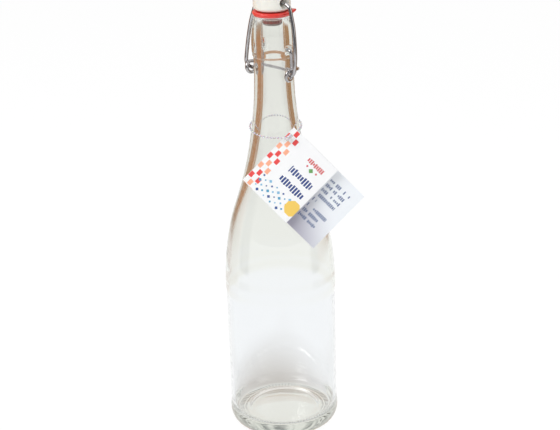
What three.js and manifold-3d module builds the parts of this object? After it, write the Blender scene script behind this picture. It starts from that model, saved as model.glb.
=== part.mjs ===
// Swing top bottle: a clear glass bottle, its porcelain stopper with a rubber washer, the two
// bent wires that lock the stopper down, and a folded card tag on a beaded nylon loop.
// Millimetres, +Z up. The origin is the middle of the base, on the bottle's axis.
// The wires hinge about X. Their loops lie on the -Y side and the thumb bar on the +Y side.

import * as THREE from 'three';
import Module from 'manifold-3d';
import { mergeVertices } from 'three/addons/utils/BufferGeometryUtils.js';

const wasm = await Module();
wasm.setup();

// Glass: body and base
const lipHeight = 307;
const bodyRadius = 40.2;
const wallThickness = 2.4;
const bodyHeight = 112.5;
const panelDepth = 0.55;
const panelMargin = 8;
const panelFade = 3;
const heelWidth = 5.7;
const heelHeight = 10;
const baseThickness = 9;
const puntDepth = 3.5;
const bearingWidth = 6;
const innerHeelShare = 0.7;

// Glass: neck and the finish that the closure grips, measured down from the lip
const neckRadius = 14;
const neckTopDrop = 43;
const finishDrop = 29;
const finishRadius = 14.75;
const finishBulge = 1.35;
const lipRadius = 12.6;
const lipEdge = 1;
const boreRadius = 8.8;
const boreDepth = 23;
const boreFade = 9;
const neckWall = 5;
const dimpleDrop = 22.5;
const dimpleDepth = 2.8;
const dimpleMouthRadius = 2.7;
const dimpleFloorRadius = 1.75;

// How the outline swells from the neck to the body: share of the drop, share of the swell
const shoulderShares = [
  [0, 0], [0.12, 0.035], [0.25, 0.122], [0.388, 0.262], [0.507, 0.435], [0.566, 0.542],
  [0.6875, 0.768], [0.809, 0.904], [0.92, 0.978], [1, 1],
];

// The wall thins from the neck to the body between these shares of the shoulder's drop
const wallFadeShares = [0.3, 0.8];

// Stopper and washer, measured up from the lip
const seatClearance = 0.4;
const washerRadius = 13.8;
const washerThickness = 3.6;
const washerBevel = 1.1;
const plugRadius = 6.2;
const plugTipRadius = 4.8;
const plugDepth = 5;
const stopperRadius = 13.2;
const stopperFootRadius = 9.6;
const stopperHeight = 16.6;
const stopperFootRise = 3.6;
const stopperCrownRise = 4.2;
const stopperCrownRadius = 8.6;
const stopperDome = 0.9;
const holeRise = 10;
const holeRadius = 2.15;
const flareRadius = 4.1;
const flareDepth = 4.6;

// Lever wire: its ends turn in the dimples and its coils carry the bail
const leverWire = 2.5;
const leverTipInset = 2.2;
const leverBend = 2.4;
const armClearance = 1;
const coilRadius = 3.7;
const coilDrop = 16.5;
const coilShift = 2.8;
const barDroop = 5;
const barClearance = 2;
const barLead = 7;
const barSpread = 11;

// Bail wire: from the coils up through the stopper
const bailWire = 2.7;
const bailSideClearance = 0.7;
const bailBend = 4.5;
const bailTipOverhang = 1.3;
const bailSlide = 1.2;

// Card tag, folded once along its upper left edge
const cardLength = 51;
const frontLeafWidth = 42.7;
const backLeafWidth = 69;
const cardThickness = 0.35;
const leafGap = 0.35;
const leafOpening = THREE.MathUtils.degToRad(6);
const cardTurn = THREE.MathUtils.degToRad(46.2);
const cardAzimuth = THREE.MathUtils.degToRad(45);
const cardClearance = 0.45;
const tagHoleRadius = 2;
const tagHoleFromFold = 2.9;
const tagHoleFromEdge = 7.9;
const tagHoleSideways = 9;
const tagDrop = 83;

// Beaded nylon loop that hangs the tag round the neck
const strandRadius = 0.4;
const beadRadius = 0.75;
const beadPitch = 2.8;
const loopClearance = 0.35;
const loopRise = 3.8;
const loopDrop = 3.4;
const loopStart = THREE.MathUtils.degToRad(14);
const loopEnd = THREE.MathUtils.degToRad(312);
const lockLength = 5.6;
const lockWidth = 2.6;
const lockThickness = 1.9;
const lockBevel = 0.4;
const lockStandOff = 3;

// Fineness of the round forms, and how far a cut runs past what it cuts
const latheSides = 48;
const stopperSides = 40;
const holeSides = 20;
const wireSides = 8;
const leverSteps = 132;
const bailSteps = 86;
const strandSides = 6;
const loopSteps = 20;
const curveSamples = 200;
const mergeTolerance = 0.0001;
const overrun = 1;

// Merges a geometry's shared corners, drops its collapsed triangles and returns a solid.
function solidOf(geometry) {
  const bare = geometry.clone();
  bare.deleteAttribute('normal');
  bare.deleteAttribute('uv');
  const merged = mergeVertices(bare, mergeTolerance);
  const kept = [];
  const index = merged.index.array;
  for (let i = 0; i < index.length; i += 3) {
    const [a, b, c] = [index[i], index[i + 1], index[i + 2]];
    if (a !== b && b !== c && c !== a) {
      kept.push(a, b, c);
    }
  }
  const mesh = new wasm.Mesh({
    numProp: 3,
    vertProperties: new Float32Array(merged.attributes.position.array),
    triVerts: new Uint32Array(kept),
  });
  return new wasm.Manifold(mesh);
}

// Turns a solid back into a geometry with its own normals.
function geometryOf(solid) {
  const mesh = solid.getMesh();
  const geometry = new THREE.BufferGeometry();
  geometry.setAttribute('position', new THREE.BufferAttribute(mesh.vertProperties.slice(), 3));
  geometry.setIndex(new THREE.BufferAttribute(mesh.triVerts.slice(), 1));
  geometry.computeVertexNormals();
  return geometry;
}

// Revolves an outline of [radius, height] pairs about Z. It runs up the outside.
function revolve(outline, sides) {
  const points = outline.map(([r, z]) => new THREE.Vector2(r, z));
  return new THREE.LatheGeometry(points, sides).rotateX(Math.PI / 2);
}

// Points of a quarter ellipse from one [radius, height] to the next, bulging to the corner.
function quarter(from, to, corner, count) {
  const middle = [from[0] + to[0] - corner[0], from[1] + to[1] - corner[1]];
  const points = [];
  for (let k = 1; k <= count; k++) {
    const angle = Math.PI / 2 * k / count;
    points.push([0, 1].map((i) => middle[i]
      + (from[i] - middle[i]) * Math.cos(angle)
      + (to[i] - middle[i]) * Math.sin(angle)));
  }
  return points;
}

// Sweeps a round wire through a list of points.
function wireAlong(points, diameter, steps, sides) {
  const section = new THREE.Shape();
  section.absarc(0, 0, diameter / 2, 0, Math.PI * 2);
  const path = new THREE.CatmullRomCurve3(points, false, 'centripetal');
  return new THREE.ExtrudeGeometry(section, {
    curveSegments: sides / 2,
    steps,
    extrudePath: path,
    bevelEnabled: false,
  });
}

// Points of an arc about a centre, from one direction to another at right angles to it.
function arcPoints(centre, from, to, count) {
  const points = [];
  for (let k = 1; k <= count; k++) {
    const angle = Math.PI / 2 * k / count;
    points.push(centre.clone()
      .addScaledVector(from, Math.cos(angle))
      .addScaledVector(to, Math.sin(angle)));
  }
  return points;
}

// Mirrors a half wire that ends at the middle plane X = 0 into a whole one.
function mirrored(half) {
  const other = half.slice(0, -1).reverse();
  return half.concat(other.map((p) => new THREE.Vector3(-p.x, p.y, p.z)));
}

const neckTop = lipHeight - neckTopDrop;
const shoulderCurve = new THREE.CatmullRomCurve3(shoulderShares.map(([drop, swell]) =>
  new THREE.Vector3(
    neckRadius + (bodyRadius - neckRadius) * swell,
    0,
    neckTop + (bodyHeight - neckTop) * drop,
  )), false, 'centripetal');

// Outside radius of the neck and shoulder at a height.
function glassRadius(height) {
  const points = shoulderCurve.getPoints(curveSamples);
  if (height >= points[0].z) {
    return neckRadius;
  }
  for (let k = 1; k < points.length; k++) {
    if (points[k].z <= height) {
      const part = (points[k - 1].z - height) / (points[k - 1].z - points[k].z);
      return points[k - 1].x + (points[k].x - points[k - 1].x) * part;
    }
  }
  return bodyRadius;
}

// Thickness of the wall at a height of the shoulder.
function wallAt(height) {
  const [start, end] = wallFadeShares;
  const drop = (neckTop - height) / (neckTop - bodyHeight);
  const part = Math.min(1, Math.max(0, (drop - start) / (end - start)));
  const thinned = (1 - Math.cos(Math.PI * part)) / 2;
  return neckWall + (wallThickness - neckWall) * thinned;
}

// The outside of the glass, from the middle of the base up to the lip.
function outerOutline() {
  const bearingRadius = bodyRadius - heelWidth;
  const puntRadius = bearingRadius - bearingWidth;
  const outline = [];
  const puntSteps = 4;
  for (let k = 0; k <= puntSteps; k++) {
    outline.push([puntRadius * k / puntSteps, puntDepth * (1 - (k / puntSteps) ** 2)]);
  }
  outline.push([bearingRadius, 0]);
  outline.push(...quarter([bearingRadius, 0], [bodyRadius, heelHeight], [bodyRadius, 0], 7));
  const panelRadius = bodyRadius - panelDepth;
  outline.push([panelRadius, heelHeight + panelMargin]);
  outline.push([panelRadius, bodyHeight - panelMargin]);
  outline.push([bodyRadius, bodyHeight - panelMargin + panelFade]);
  const steps = 17;
  for (let k = 0; k <= steps; k++) {
    const point = shoulderCurve.getPointAt(1 - k / steps);
    outline.push([point.x, point.z]);
  }
  const finishFoot = lipHeight - finishDrop;
  outline.push([neckRadius, finishFoot]);
  const finish = new THREE.QuadraticBezierCurve(
    new THREE.Vector2(finishRadius, finishFoot + finishBulge * 2),
    new THREE.Vector2(finishRadius + finishBulge, (finishFoot + lipHeight) / 2 + finishBulge),
    new THREE.Vector2(lipRadius, lipHeight - lipEdge),
  );
  for (const point of finish.getPoints(7)) {
    outline.push([point.x, point.y]);
  }
  const lipCrest = [lipRadius - lipEdge, lipHeight];
  outline.push(...quarter([lipRadius, lipHeight - lipEdge], lipCrest, [lipRadius, lipHeight], 3));
  return outline;
}

// The inside of the glass, from the lip down to the middle of the floor.
function innerOutline() {
  const outline = [];
  outline.push([boreRadius + lipEdge, lipHeight]);
  outline.push([boreRadius, lipHeight - lipEdge]);
  const boreFoot = lipHeight - boreDepth;
  const throatRadius = neckRadius - neckWall;
  const fadeSteps = 4;
  for (let k = 0; k <= fadeSteps; k++) {
    const ease = (1 - Math.cos(Math.PI * k / fadeSteps)) / 2;
    const radius = boreRadius + (throatRadius - boreRadius) * ease;
    outline.push([radius, boreFoot - boreFade * k / fadeSteps]);
  }
  const steps = 13;
  for (let k = 0; k <= steps; k++) {
    const point = shoulderCurve.getPointAt(k / steps);
    const slope = shoulderCurve.getTangentAt(k / steps);
    const wall = wallAt(point.z);
    outline.push([point.x + slope.z * wall, point.z - slope.x * wall]);
  }
  const wallRadius = bodyRadius - wallThickness;
  const heelTop = [wallRadius, baseThickness + heelHeight * innerHeelShare];
  const heelFoot = [wallRadius - heelWidth * innerHeelShare, baseThickness];
  outline.push(heelTop);
  outline.push(...quarter(heelTop, heelFoot, [wallRadius, baseThickness], 5));
  const floorSteps = 4;
  for (let k = floorSteps - 1; k >= 0; k--) {
    const rise = puntDepth * (1 - (k / floorSteps) ** 2);
    outline.push([heelFoot[0] * k / floorSteps, baseThickness + rise]);
  }
  return outline;
}

// Heights of the closure's pivots, and the glass's outside radius at the dimples
const pivotHeight = lipHeight - dimpleDrop;
const coilHeight = pivotHeight - coilDrop;
const holeHeight = lipHeight + holeRise;
const dimpleSurface = finishRadius + finishBulge / 4;

// How far out the lever's arms, the ends of its thumb bar and the bail's legs stand
const armX = dimpleSurface + armClearance + leverWire / 2;
const barX = armX + coilShift;
const legX = barX + leverWire / 2 + bailSideClearance + bailWire / 2;

// The blind recess at each side of the finish, as a cone along X.
function dimple(side) {
  const run = dimpleDepth + overrun;
  const slope = (dimpleMouthRadius - dimpleFloorRadius) / dimpleDepth;
  const mouth = dimpleMouthRadius + slope * overrun;
  const cone = new THREE.CylinderGeometry(mouth, dimpleFloorRadius, run, holeSides);
  cone.rotateZ(-Math.PI / 2 * side);
  cone.translate(side * (dimpleSurface - dimpleDepth + run / 2), 0, pivotHeight);
  return solidOf(cone);
}

function bottleGeometry() {
  let glass = solidOf(revolve(outerOutline().concat(innerOutline()), latheSides));
  for (const side of [-1, 1]) {
    glass = glass.subtract(dimple(side));
  }
  return geometryOf(glass);
}

function washerGeometry() {
  const low = lipHeight + seatClearance;
  const high = low + washerThickness;
  const washerBore = plugRadius + seatClearance;
  const soft = washerBevel / 3;
  return geometryOf(solidOf(revolve([
    [washerBore, low], [washerRadius - washerBevel, low],
    [washerRadius - soft, low + washerBevel], [washerRadius, high - washerBevel],
    [washerRadius - soft, high - soft], [washerRadius - washerBevel, high],
    [washerBore, high], [washerBore, low],
  ], latheSides)));
}

function stopperGeometry() {
  const foot = lipHeight + washerThickness + seatClearance * 2;
  const top = foot + stopperHeight;
  const tip = lipHeight - plugDepth;
  const waist = foot + stopperFootRise;
  const crown = top - stopperCrownRise;
  const outline = [
    [0, tip], [plugTipRadius, tip], [plugRadius, tip + plugRadius - plugTipRadius],
    [plugRadius, foot], [stopperFootRadius, foot],
    ...quarter([stopperFootRadius, foot], [stopperRadius, waist], [stopperRadius, foot], 5),
    [stopperRadius, (waist + crown) / 2],
    [stopperRadius - stopperDome / 2, crown],
    ...quarter([stopperRadius - stopperDome / 2, crown], [stopperCrownRadius, top - stopperDome],
      [stopperRadius - stopperDome, top - stopperDome], 5),
    [stopperCrownRadius / 2, top - stopperDome / 4], [0, top],
  ];
  let porcelain = solidOf(revolve(outline, stopperSides));
  const reach = stopperRadius + overrun;
  const hole = new THREE.CylinderGeometry(holeRadius, holeRadius, reach * 2, holeSides);
  porcelain = porcelain.subtract(solidOf(hole.rotateZ(Math.PI / 2).translate(0, 0, holeHeight)));
  const flareRun = flareDepth + overrun;
  const flareEnd = flareRadius + (flareRadius - holeRadius) * overrun / flareDepth;
  for (const side of [-1, 1]) {
    const flare = new THREE.CylinderGeometry(flareEnd, holeRadius, flareRun, holeSides);
    flare.rotateZ(-Math.PI / 2 * side);
    flare.translate(side * (stopperRadius - flareDepth + flareRun / 2), 0, holeHeight);
    porcelain = porcelain.subtract(solidOf(flare));
  }
  return geometryOf(porcelain);
}

// Half of the lever wire, from its tip in the dimple to the middle of the thumb bar.
function leverHalf() {
  const across = new THREE.Vector3(leverBend, 0, 0);
  const down = new THREE.Vector3(0, 0, leverBend);
  const points = [new THREE.Vector3(dimpleSurface - leverTipInset, 0, pivotHeight)];
  const bendCentre = new THREE.Vector3(armX - leverBend, 0, pivotHeight - leverBend);
  points.push(bendCentre.clone().add(down));
  points.push(...arcPoints(bendCentre, down, across, 4));
  points.push(new THREE.Vector3(armX, 0, (pivotHeight + coilHeight) / 2));
  const turnSteps = 15;
  for (let k = 0; k <= turnSteps; k++) {
    const angle = Math.PI * 1.5 * k / turnSteps;
    points.push(new THREE.Vector3(
      armX + coilShift * k / turnSteps,
      -coilRadius + coilRadius * Math.cos(angle),
      coilHeight - coilRadius * Math.sin(angle),
    ));
  }
  const barHeight = coilHeight + coilRadius;
  const barReach = neckRadius + barClearance + leverWire / 2;
  const bar = new THREE.CubicBezierCurve3(
    new THREE.Vector3(barX, -coilRadius, barHeight),
    new THREE.Vector3(barX, barLead - coilRadius, barHeight),
    new THREE.Vector3(barSpread, barReach, barHeight - barDroop),
    new THREE.Vector3(0, barReach, barHeight - barDroop),
  );
  points.push(...bar.getPoints(9).slice(1));
  return points;
}

function leverGeometry() {
  return geometryOf(solidOf(wireAlong(mirrored(leverHalf()), leverWire, leverSteps, wireSides)));
}

// Half of the bail wire, from its tip in the coil to the middle of the stopper.
function bailHalf() {
  const rise = holeHeight - coilHeight;
  const leanAt = (height) => -coilRadius * (holeHeight - height) / rise;
  const points = [new THREE.Vector3(armX - bailTipOverhang, -coilRadius, coilHeight)];
  const bendCentre = new THREE.Vector3(legX - bailBend, -coilRadius, coilHeight + bailBend);
  const low = new THREE.Vector3(0, 0, -bailBend);
  const out = new THREE.Vector3(bailBend, 0, 0);
  points.push(bendCentre.clone().add(low));
  points.push(...arcPoints(bendCentre, low, out, 5));
  // Share of the way from the stopper's rim out to the leg, and of the way up
  const legShares = [
    [1, 0.24], [0.91, 0.45], [0.76, 0.67], [0.57, 0.827], [0.47, 0.9], [0.34, 0.955],
  ];
  const rim = stopperRadius - flareDepth / 2;
  for (const [outShare, upShare] of legShares) {
    const height = coilHeight + rise * upShare;
    points.push(new THREE.Vector3(rim + (legX - rim) * outShare, leanAt(height), height));
  }
  // The wire runs straight inside the stopper.
  const straight = stopperRadius - flareDepth + bailWire / 4;
  const straightShares = [1, 0.8, 0.4, 0];
  for (const share of straightShares) {
    points.push(new THREE.Vector3(straight * share, 0, holeHeight));
  }
  return points;
}

function bailGeometry() {
  // The wire has slid sideways in the stopper, the more the higher up.
  const route = mirrored(bailHalf());
  for (const point of route) {
    point.x += bailSlide * (point.z - coilHeight) / (holeHeight - coilHeight);
  }
  return geometryOf(solidOf(wireAlong(route, bailWire, bailSteps, wireSides)));
}

// The card faces this way, and hangs from its hole with its foot against the shoulder.
const outward = new THREE.Vector3(Math.sin(cardAzimuth), -Math.cos(cardAzimuth), 0);
const rightward = new THREE.Vector3(Math.cos(cardAzimuth), Math.sin(cardAzimuth), 0);
const upward = new THREE.Vector3(0, 0, 1);
const beadReach = loopClearance + beadRadius;
const tagHeight = lipHeight - tagDrop;
const cardStandOff = glassRadius(tagHeight) + beadReach;

// The steepest lean that the shoulder asks for, so that the card clears it all the way down.
function leanOfCard() {
  const drop = backLeafWidth * Math.sin(cardTurn) + cardLength * Math.cos(cardTurn);
  const steps = 60;
  let lean = 0;
  for (let k = 1; k <= steps; k++) {
    const height = tagHeight - drop * k / steps;
    const need = Math.atan2(glassRadius(height) - cardStandOff, tagHeight - height);
    lean = Math.max(lean, need);
  }
  return lean;
}

const cardLean = leanOfCard();
const cardGap = cardClearance / Math.cos(cardLean);
const cardNormal = outward.clone().multiplyScalar(Math.cos(cardLean))
  .addScaledVector(upward, Math.sin(cardLean));
const cardUp = new THREE.Vector3().crossVectors(cardNormal, rightward);
const tagHole = rightward.clone().multiplyScalar(tagHoleSideways)
  .addScaledVector(outward, cardStandOff + cardGap)
  .addScaledVector(upward, tagHeight);

// The strand runs through the upper part of the hole, so that the card hangs on it.
const hangPoint = tagHole.clone()
  .addScaledVector(cardUp, tagHoleRadius - beadRadius - loopClearance);

// The lock lies in front of the card, along the fold.
const alongFold = cardUp.clone().multiplyScalar(Math.cos(cardTurn))
  .addScaledVector(rightward, Math.sin(cardTurn));
const lockDepth = cardThickness * 2 + leafGap + lockStandOff + lockThickness / 2;
const lockMiddle = hangPoint.clone().addScaledVector(cardNormal, lockDepth);

// One leaf of the card, flat in XY with the tag's hole at the origin.
function leafGeometry(width) {
  const left = -tagHoleFromFold;
  const top = tagHoleFromEdge;
  const leaf = new THREE.Shape();
  leaf.moveTo(left, top - cardLength);
  leaf.lineTo(left + width, top - cardLength);
  leaf.lineTo(left + width, top);
  leaf.lineTo(left, top);
  leaf.closePath();
  const hole = new THREE.Path();
  hole.absarc(0, 0, tagHoleRadius, 0, Math.PI * 2, true);
  leaf.holes.push(hole);
  return new THREE.ExtrudeGeometry(leaf, {
    depth: cardThickness, bevelEnabled: false, curveSegments: 16,
  });
}

// The strand's route, from the lock round the neck and back through the tag's hole.
function loopRoute() {
  const route = [lockMiddle.clone()];
  route.push(lockMiddle.clone().addScaledVector(rightward, -lockLength / 2));
  for (let k = 0; k <= loopSteps; k++) {
    const angle = loopStart + (loopEnd - loopStart) * k / loopSteps;
    const height = tagHeight + loopRise - loopDrop * Math.cos(angle);
    const reach = glassRadius(height) + beadReach;
    route.push(upward.clone().multiplyScalar(height)
      .addScaledVector(rightward, -reach * Math.sin(angle))
      .addScaledVector(outward, reach * Math.cos(angle)));
  }
  route.push(hangPoint.clone().addScaledVector(cardNormal, -beadReach));
  route.push(hangPoint.clone().addScaledVector(cardNormal, cardThickness));
  route.push(lockMiddle.clone());
  return route;
}

// A beaded strand: rings of points that swell and shrink along the route, with closed ends.
function strandGeometry(route) {
  const path = new THREE.CatmullRomCurve3(route, false, 'centripetal');
  const beads = Math.round(path.getLength() / beadPitch);
  const rings = beads * 2;
  const frames = path.computeFrenetFrames(rings, false);
  const positions = [];
  for (let i = 0; i <= rings; i++) {
    const centre = path.getPointAt(i / rings);
    const radius = i % 2 ? beadRadius : strandRadius;
    for (let j = 0; j < strandSides; j++) {
      const angle = Math.PI * 2 * j / strandSides;
      const corner = centre.clone()
        .addScaledVector(frames.normals[i], radius * Math.cos(angle))
        .addScaledVector(frames.binormals[i], radius * Math.sin(angle));
      positions.push(...corner.toArray());
    }
  }
  const index = [];
  for (let i = 0; i < rings; i++) {
    for (let j = 0; j < strandSides; j++) {
      const a = i * strandSides + j;
      const b = i * strandSides + (j + 1) % strandSides;
      index.push(a, b, b + strandSides, a, b + strandSides, a + strandSides);
    }
  }
  const end = rings * strandSides;
  for (let j = 1; j < strandSides - 1; j++) {
    index.push(0, j + 1, j, end, end + j, end + j + 1);
  }
  const geometry = new THREE.BufferGeometry();
  geometry.setAttribute('position', new THREE.Float32BufferAttribute(positions, 3));
  geometry.setIndex(index);
  return geometry;
}

// The lock that both ends of the strand snap into.
function lockGeometry() {
  const x = lockLength / 2 - lockBevel;
  const y = lockWidth / 2 - lockBevel;
  const face = new THREE.Shape();
  face.moveTo(-x, -y);
  face.lineTo(x, -y);
  face.lineTo(x, y);
  face.lineTo(-x, y);
  face.closePath();
  const lock = new THREE.ExtrudeGeometry(face, {
    depth: lockThickness - lockBevel * 2,
    bevelThickness: lockBevel,
    bevelSize: lockBevel,
    bevelSegments: 2,
  });
  lock.translate(0, 0, lockBevel - lockThickness / 2);
  const acrossFold = new THREE.Vector3().crossVectors(cardNormal, alongFold);
  lock.applyMatrix4(new THREE.Matrix4().makeBasis(alongFold, acrossFold, cardNormal));
  return lock.translate(lockMiddle.x, lockMiddle.y, lockMiddle.z);
}

function tagLoopGeometry() {
  const strand = solidOf(strandGeometry(loopRoute()));
  return geometryOf(strand.add(solidOf(lockGeometry())));
}

const glassFinish = new THREE.MeshStandardMaterial({
  color: '#e4eeea', roughness: 0.03, metalness: 0, transparent: true, opacity: 0.35,
});
const porcelainFinish = new THREE.MeshStandardMaterial({
  color: '#f2f1ea', roughness: 0.18, metalness: 0,
});
const rubberFinish = new THREE.MeshStandardMaterial({
  color: '#e2342f', roughness: 0.55, metalness: 0,
});
const wireFinish = new THREE.MeshStandardMaterial({
  color: '#b9b9bb', roughness: 0.25, metalness: 1,
});
const cardFinish = new THREE.MeshStandardMaterial({
  color: '#f7f7f5', roughness: 0.6, metalness: 0,
});
const nylonFinish = new THREE.MeshStandardMaterial({
  color: '#eceaf4', roughness: 0.35, metalness: 0, transparent: true, opacity: 0.6,
});

function piece(name, geometry, material) {
  const mesh = new THREE.Mesh(geometry, material);
  mesh.name = name;
  return mesh;
}

const swingTopBottle = new THREE.Group();
swingTopBottle.add(piece('bottle', bottleGeometry(), glassFinish));
swingTopBottle.add(piece('stopper', stopperGeometry(), porcelainFinish));
swingTopBottle.add(piece('washer', washerGeometry(), rubberFinish));
swingTopBottle.add(piece('bail', bailGeometry(), wireFinish));
swingTopBottle.add(piece('lever', leverGeometry(), wireFinish));
swingTopBottle.add(piece('tag_loop', tagLoopGeometry(), nylonFinish));

// The tag's own frame: its hole at the origin, the card in XY, facing +Z
const tag = new THREE.Group();
const facing = new THREE.Matrix4().makeBasis(rightward, cardUp, cardNormal);
tag.quaternion.setFromRotationMatrix(facing);
tag.position.copy(tagHole);
tag.rotateZ(-cardTurn);
tag.add(piece('tag_back_leaf', leafGeometry(backLeafWidth), cardFinish));

// The front leaf turns about the fold.
const fold = new THREE.Group();
fold.position.set(-tagHoleFromFold, 0, cardThickness + leafGap);
fold.rotation.y = -leafOpening;
const frontLeaf = piece('tag_front_leaf', leafGeometry(frontLeafWidth), cardFinish);
frontLeaf.position.x = tagHoleFromFold;
fold.add(frontLeaf);
tag.add(fold);
swingTopBottle.add(tag);

export default swingTopBottle;
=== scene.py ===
"""Swing top bottle, laid out as an add-on.

A clear soda-lime glass bottle stands on its base. A porcelain stopper with a rubber washer
closes it, held down by two bent steel wires, and a folded card tag hangs from its neck on a
beaded nylon loop. Lengths are metres, and the frame is the CAD model's own: +Z up, the wires
hinge about X, and the thumb bar lies on the +Y side.
"""

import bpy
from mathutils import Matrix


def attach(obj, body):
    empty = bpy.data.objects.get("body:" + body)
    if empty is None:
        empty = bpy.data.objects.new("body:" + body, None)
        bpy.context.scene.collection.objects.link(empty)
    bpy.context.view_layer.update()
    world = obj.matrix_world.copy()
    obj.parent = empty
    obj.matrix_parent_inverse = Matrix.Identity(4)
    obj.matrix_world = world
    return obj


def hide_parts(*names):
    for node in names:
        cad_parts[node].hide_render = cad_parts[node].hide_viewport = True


bl_info = {
    "name": "Swing Top Bottle",
    "version": (1, 0, 0),
    "blender": (4, 5, 0),
    "location": "View3D > Sidebar > Swing Top",
    "description": "Builds a swing top glass bottle with its wire closure and card tag",
    "category": "Object",
}

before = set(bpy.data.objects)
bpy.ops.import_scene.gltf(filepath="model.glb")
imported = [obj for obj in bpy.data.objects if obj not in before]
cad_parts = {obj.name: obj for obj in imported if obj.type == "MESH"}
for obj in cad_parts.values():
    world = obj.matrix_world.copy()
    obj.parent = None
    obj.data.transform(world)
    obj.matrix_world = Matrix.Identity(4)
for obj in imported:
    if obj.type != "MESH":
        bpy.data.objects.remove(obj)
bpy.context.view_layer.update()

import math
from functools import partial

import bmesh
import bpy
from bpy.props import FloatProperty, FloatVectorProperty, IntProperty, PointerProperty
from mathutils import Matrix, Vector

MM = 0.001
MERGE = 0.0005 * MM

# ---------------------------------------------------------------- places and shapes

# Glass: body, base, neck and the finish that the closure grips
PANEL_DEPTH = 0.55 * MM
PANEL_MARGIN = 8 * MM
PANEL_FADE = 3 * MM
HEEL_WIDTH = 5.7 * MM
HEEL_HEIGHT = 10 * MM
BASE_THICKNESS = 9 * MM
PUNT_DEPTH = 3.5 * MM
BEARING_WIDTH = 6 * MM
INNER_HEEL_SHARE = 0.7
NECK_TOP_DROP = 43 * MM
FINISH_DROP = 29 * MM
FINISH_RADIUS = 14.75 * MM
FINISH_BULGE = 1.35 * MM
LIP_RADIUS = 12.6 * MM
LIP_EDGE = 1 * MM
BORE_RADIUS = 8.8 * MM
BORE_DEPTH = 23 * MM
BORE_FADE = 9 * MM
NECK_WALL = 5 * MM
DIMPLE_DROP = 22.5 * MM
DIMPLE_DEPTH = 2.8 * MM
DIMPLE_MOUTH = 3.8 * MM
DIMPLE_FLOOR = 1.5 * MM
SHOULDER_SHARES = [
    (0, 0), (0.12, 0.035), (0.25, 0.122), (0.388, 0.262), (0.507, 0.435), (0.566, 0.542),
    (0.6875, 0.768), (0.809, 0.904), (0.92, 0.978), (1, 1),
]
WALL_FADE_SHARES = (0.3, 0.8)
SHOULDER_WALL = 2.9 * MM
WALL_STEP = 8 * MM
KNURL_HEIGHT = 0.5 * MM
DISC_RADIUS = 25 * MM
DISC_STEP = 0.45 * MM
KNURL_ROWS = ((32.2 * MM, 2.3 * MM), (28.2 * MM, 0.7 * MM))
STEPS_PER_KNURL = 4
KNURL_LEVEL = 1.5 * MM
KNURL_FADE = 0.5 * MM
DISC_FADE = 1.2 * MM
GLASS_DENSITY = 16.0

# Stopper and washer, measured up from the lip
SEAT_CLEARANCE = 0.4 * MM
WASHER_RADIUS = 13.8 * MM
WASHER_BEVEL = 1.1 * MM
PLUG_RADIUS = 6.2 * MM
PLUG_TIP_RADIUS = 4.8 * MM
PLUG_DEPTH = 5 * MM
PLUG_DOME = 1.8 * MM
TAB_REACH = 3.0 * MM
TAB_SPREAD = math.radians(15)
TAB_LIFT = 1.1 * MM
TAB_THINNING = 0.4
FLASH_HEIGHT = 0.12 * MM
SKIRT_RADIUS = 7.2 * MM
SKIRT_DEPTH = 6.6 * MM
SKIRT_FADE = 0.4 * MM
# Tones of the skirt below the lip: pale at the top, then dark red and grey as painted shade
SKIRT_TONES_AND_SHADE = ((0, "E6D8D2"), (2.8 * MM, "86362C"), (5 * MM, "8E837E"))
STOPPER_FOOT_RADIUS = 9.6 * MM
STOPPER_FOOT_RISE = 3.6 * MM
STOPPER_CROWN_RISE = 4.2 * MM
STOPPER_CROWN_RADIUS = 8.6 * MM
STOPPER_DOME = 0.9 * MM
HOLE_RISE = 10 * MM
HOLE_RADIUS = 2.15 * MM
FLARE_RADIUS = 4.2 * MM
FLARE_STRETCH = 1.25
FLARE_DEPTH = 4.6 * MM
FLARE_CURVE = 1.6
GLAZE_VOXEL = 0.28 * MM

# Lever wire and bail wire
LEVER_TIP_INSET = 2.2 * MM
LEVER_BEND = 2.4 * MM
ARM_CLEARANCE = 1 * MM
COIL_RADIUS = 3.7 * MM
COIL_DROP = 16.5 * MM
COIL_SHIFT = 2.8 * MM
BAR_DROOP = 5 * MM
BAR_CLEARANCE = 2 * MM
BAR_LEAD = 7 * MM
BAR_SPREAD = 11 * MM
BAIL_SIDE_CLEARANCE = 0.7 * MM
BAIL_BEND = 4.5 * MM
BAIL_TIP_OVERHANG = 1.3 * MM
BAIL_SLIDE = 1.2 * MM
LEG_SHARES = [(1, 0.24), (0.91, 0.45), (0.76, 0.67), (0.57, 0.827), (0.47, 0.9), (0.34, 0.955)]
STRAIGHT_SHARES = (1, 0.8, 0.4, 0)

# Card tag, and the nylon loop that hangs it
CARD_THICKNESS = 0.35 * MM
LEAF_GAP = 0.35 * MM
LEAF_OPENING = math.radians(6)
CARD_TURN = math.radians(46.2)
CARD_CLEARANCE = 0.45 * MM
TAG_HOLE_RADIUS = 2 * MM
TAG_HOLE_FROM_FOLD = 2.9 * MM
TAG_HOLE_FROM_EDGE = 7.9 * MM
TAG_HOLE_SIDEWAYS = 9 * MM
TAG_HEIGHT = 224 * MM
INSIDE_TONES = (0.97, 1, 1.03)
STRAND_RADIUS = 0.13 * MM
BEAD_RADIUS = 0.75 * MM
LOOP_CLEARANCE = 0.35 * MM
LOOP_RISE = 3.8 * MM
LOOP_DROP = 3.4 * MM
LOOP_START = math.radians(14)
LOOP_END = math.radians(312)
LOOP_STEPS = 20
LOCK_SIZE = (5.6 * MM, 2.6 * MM, 1.9 * MM)
LOCK_STAND_OFF = 3 * MM
LOCK_ROUNDING = 0.8 * MM

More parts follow.
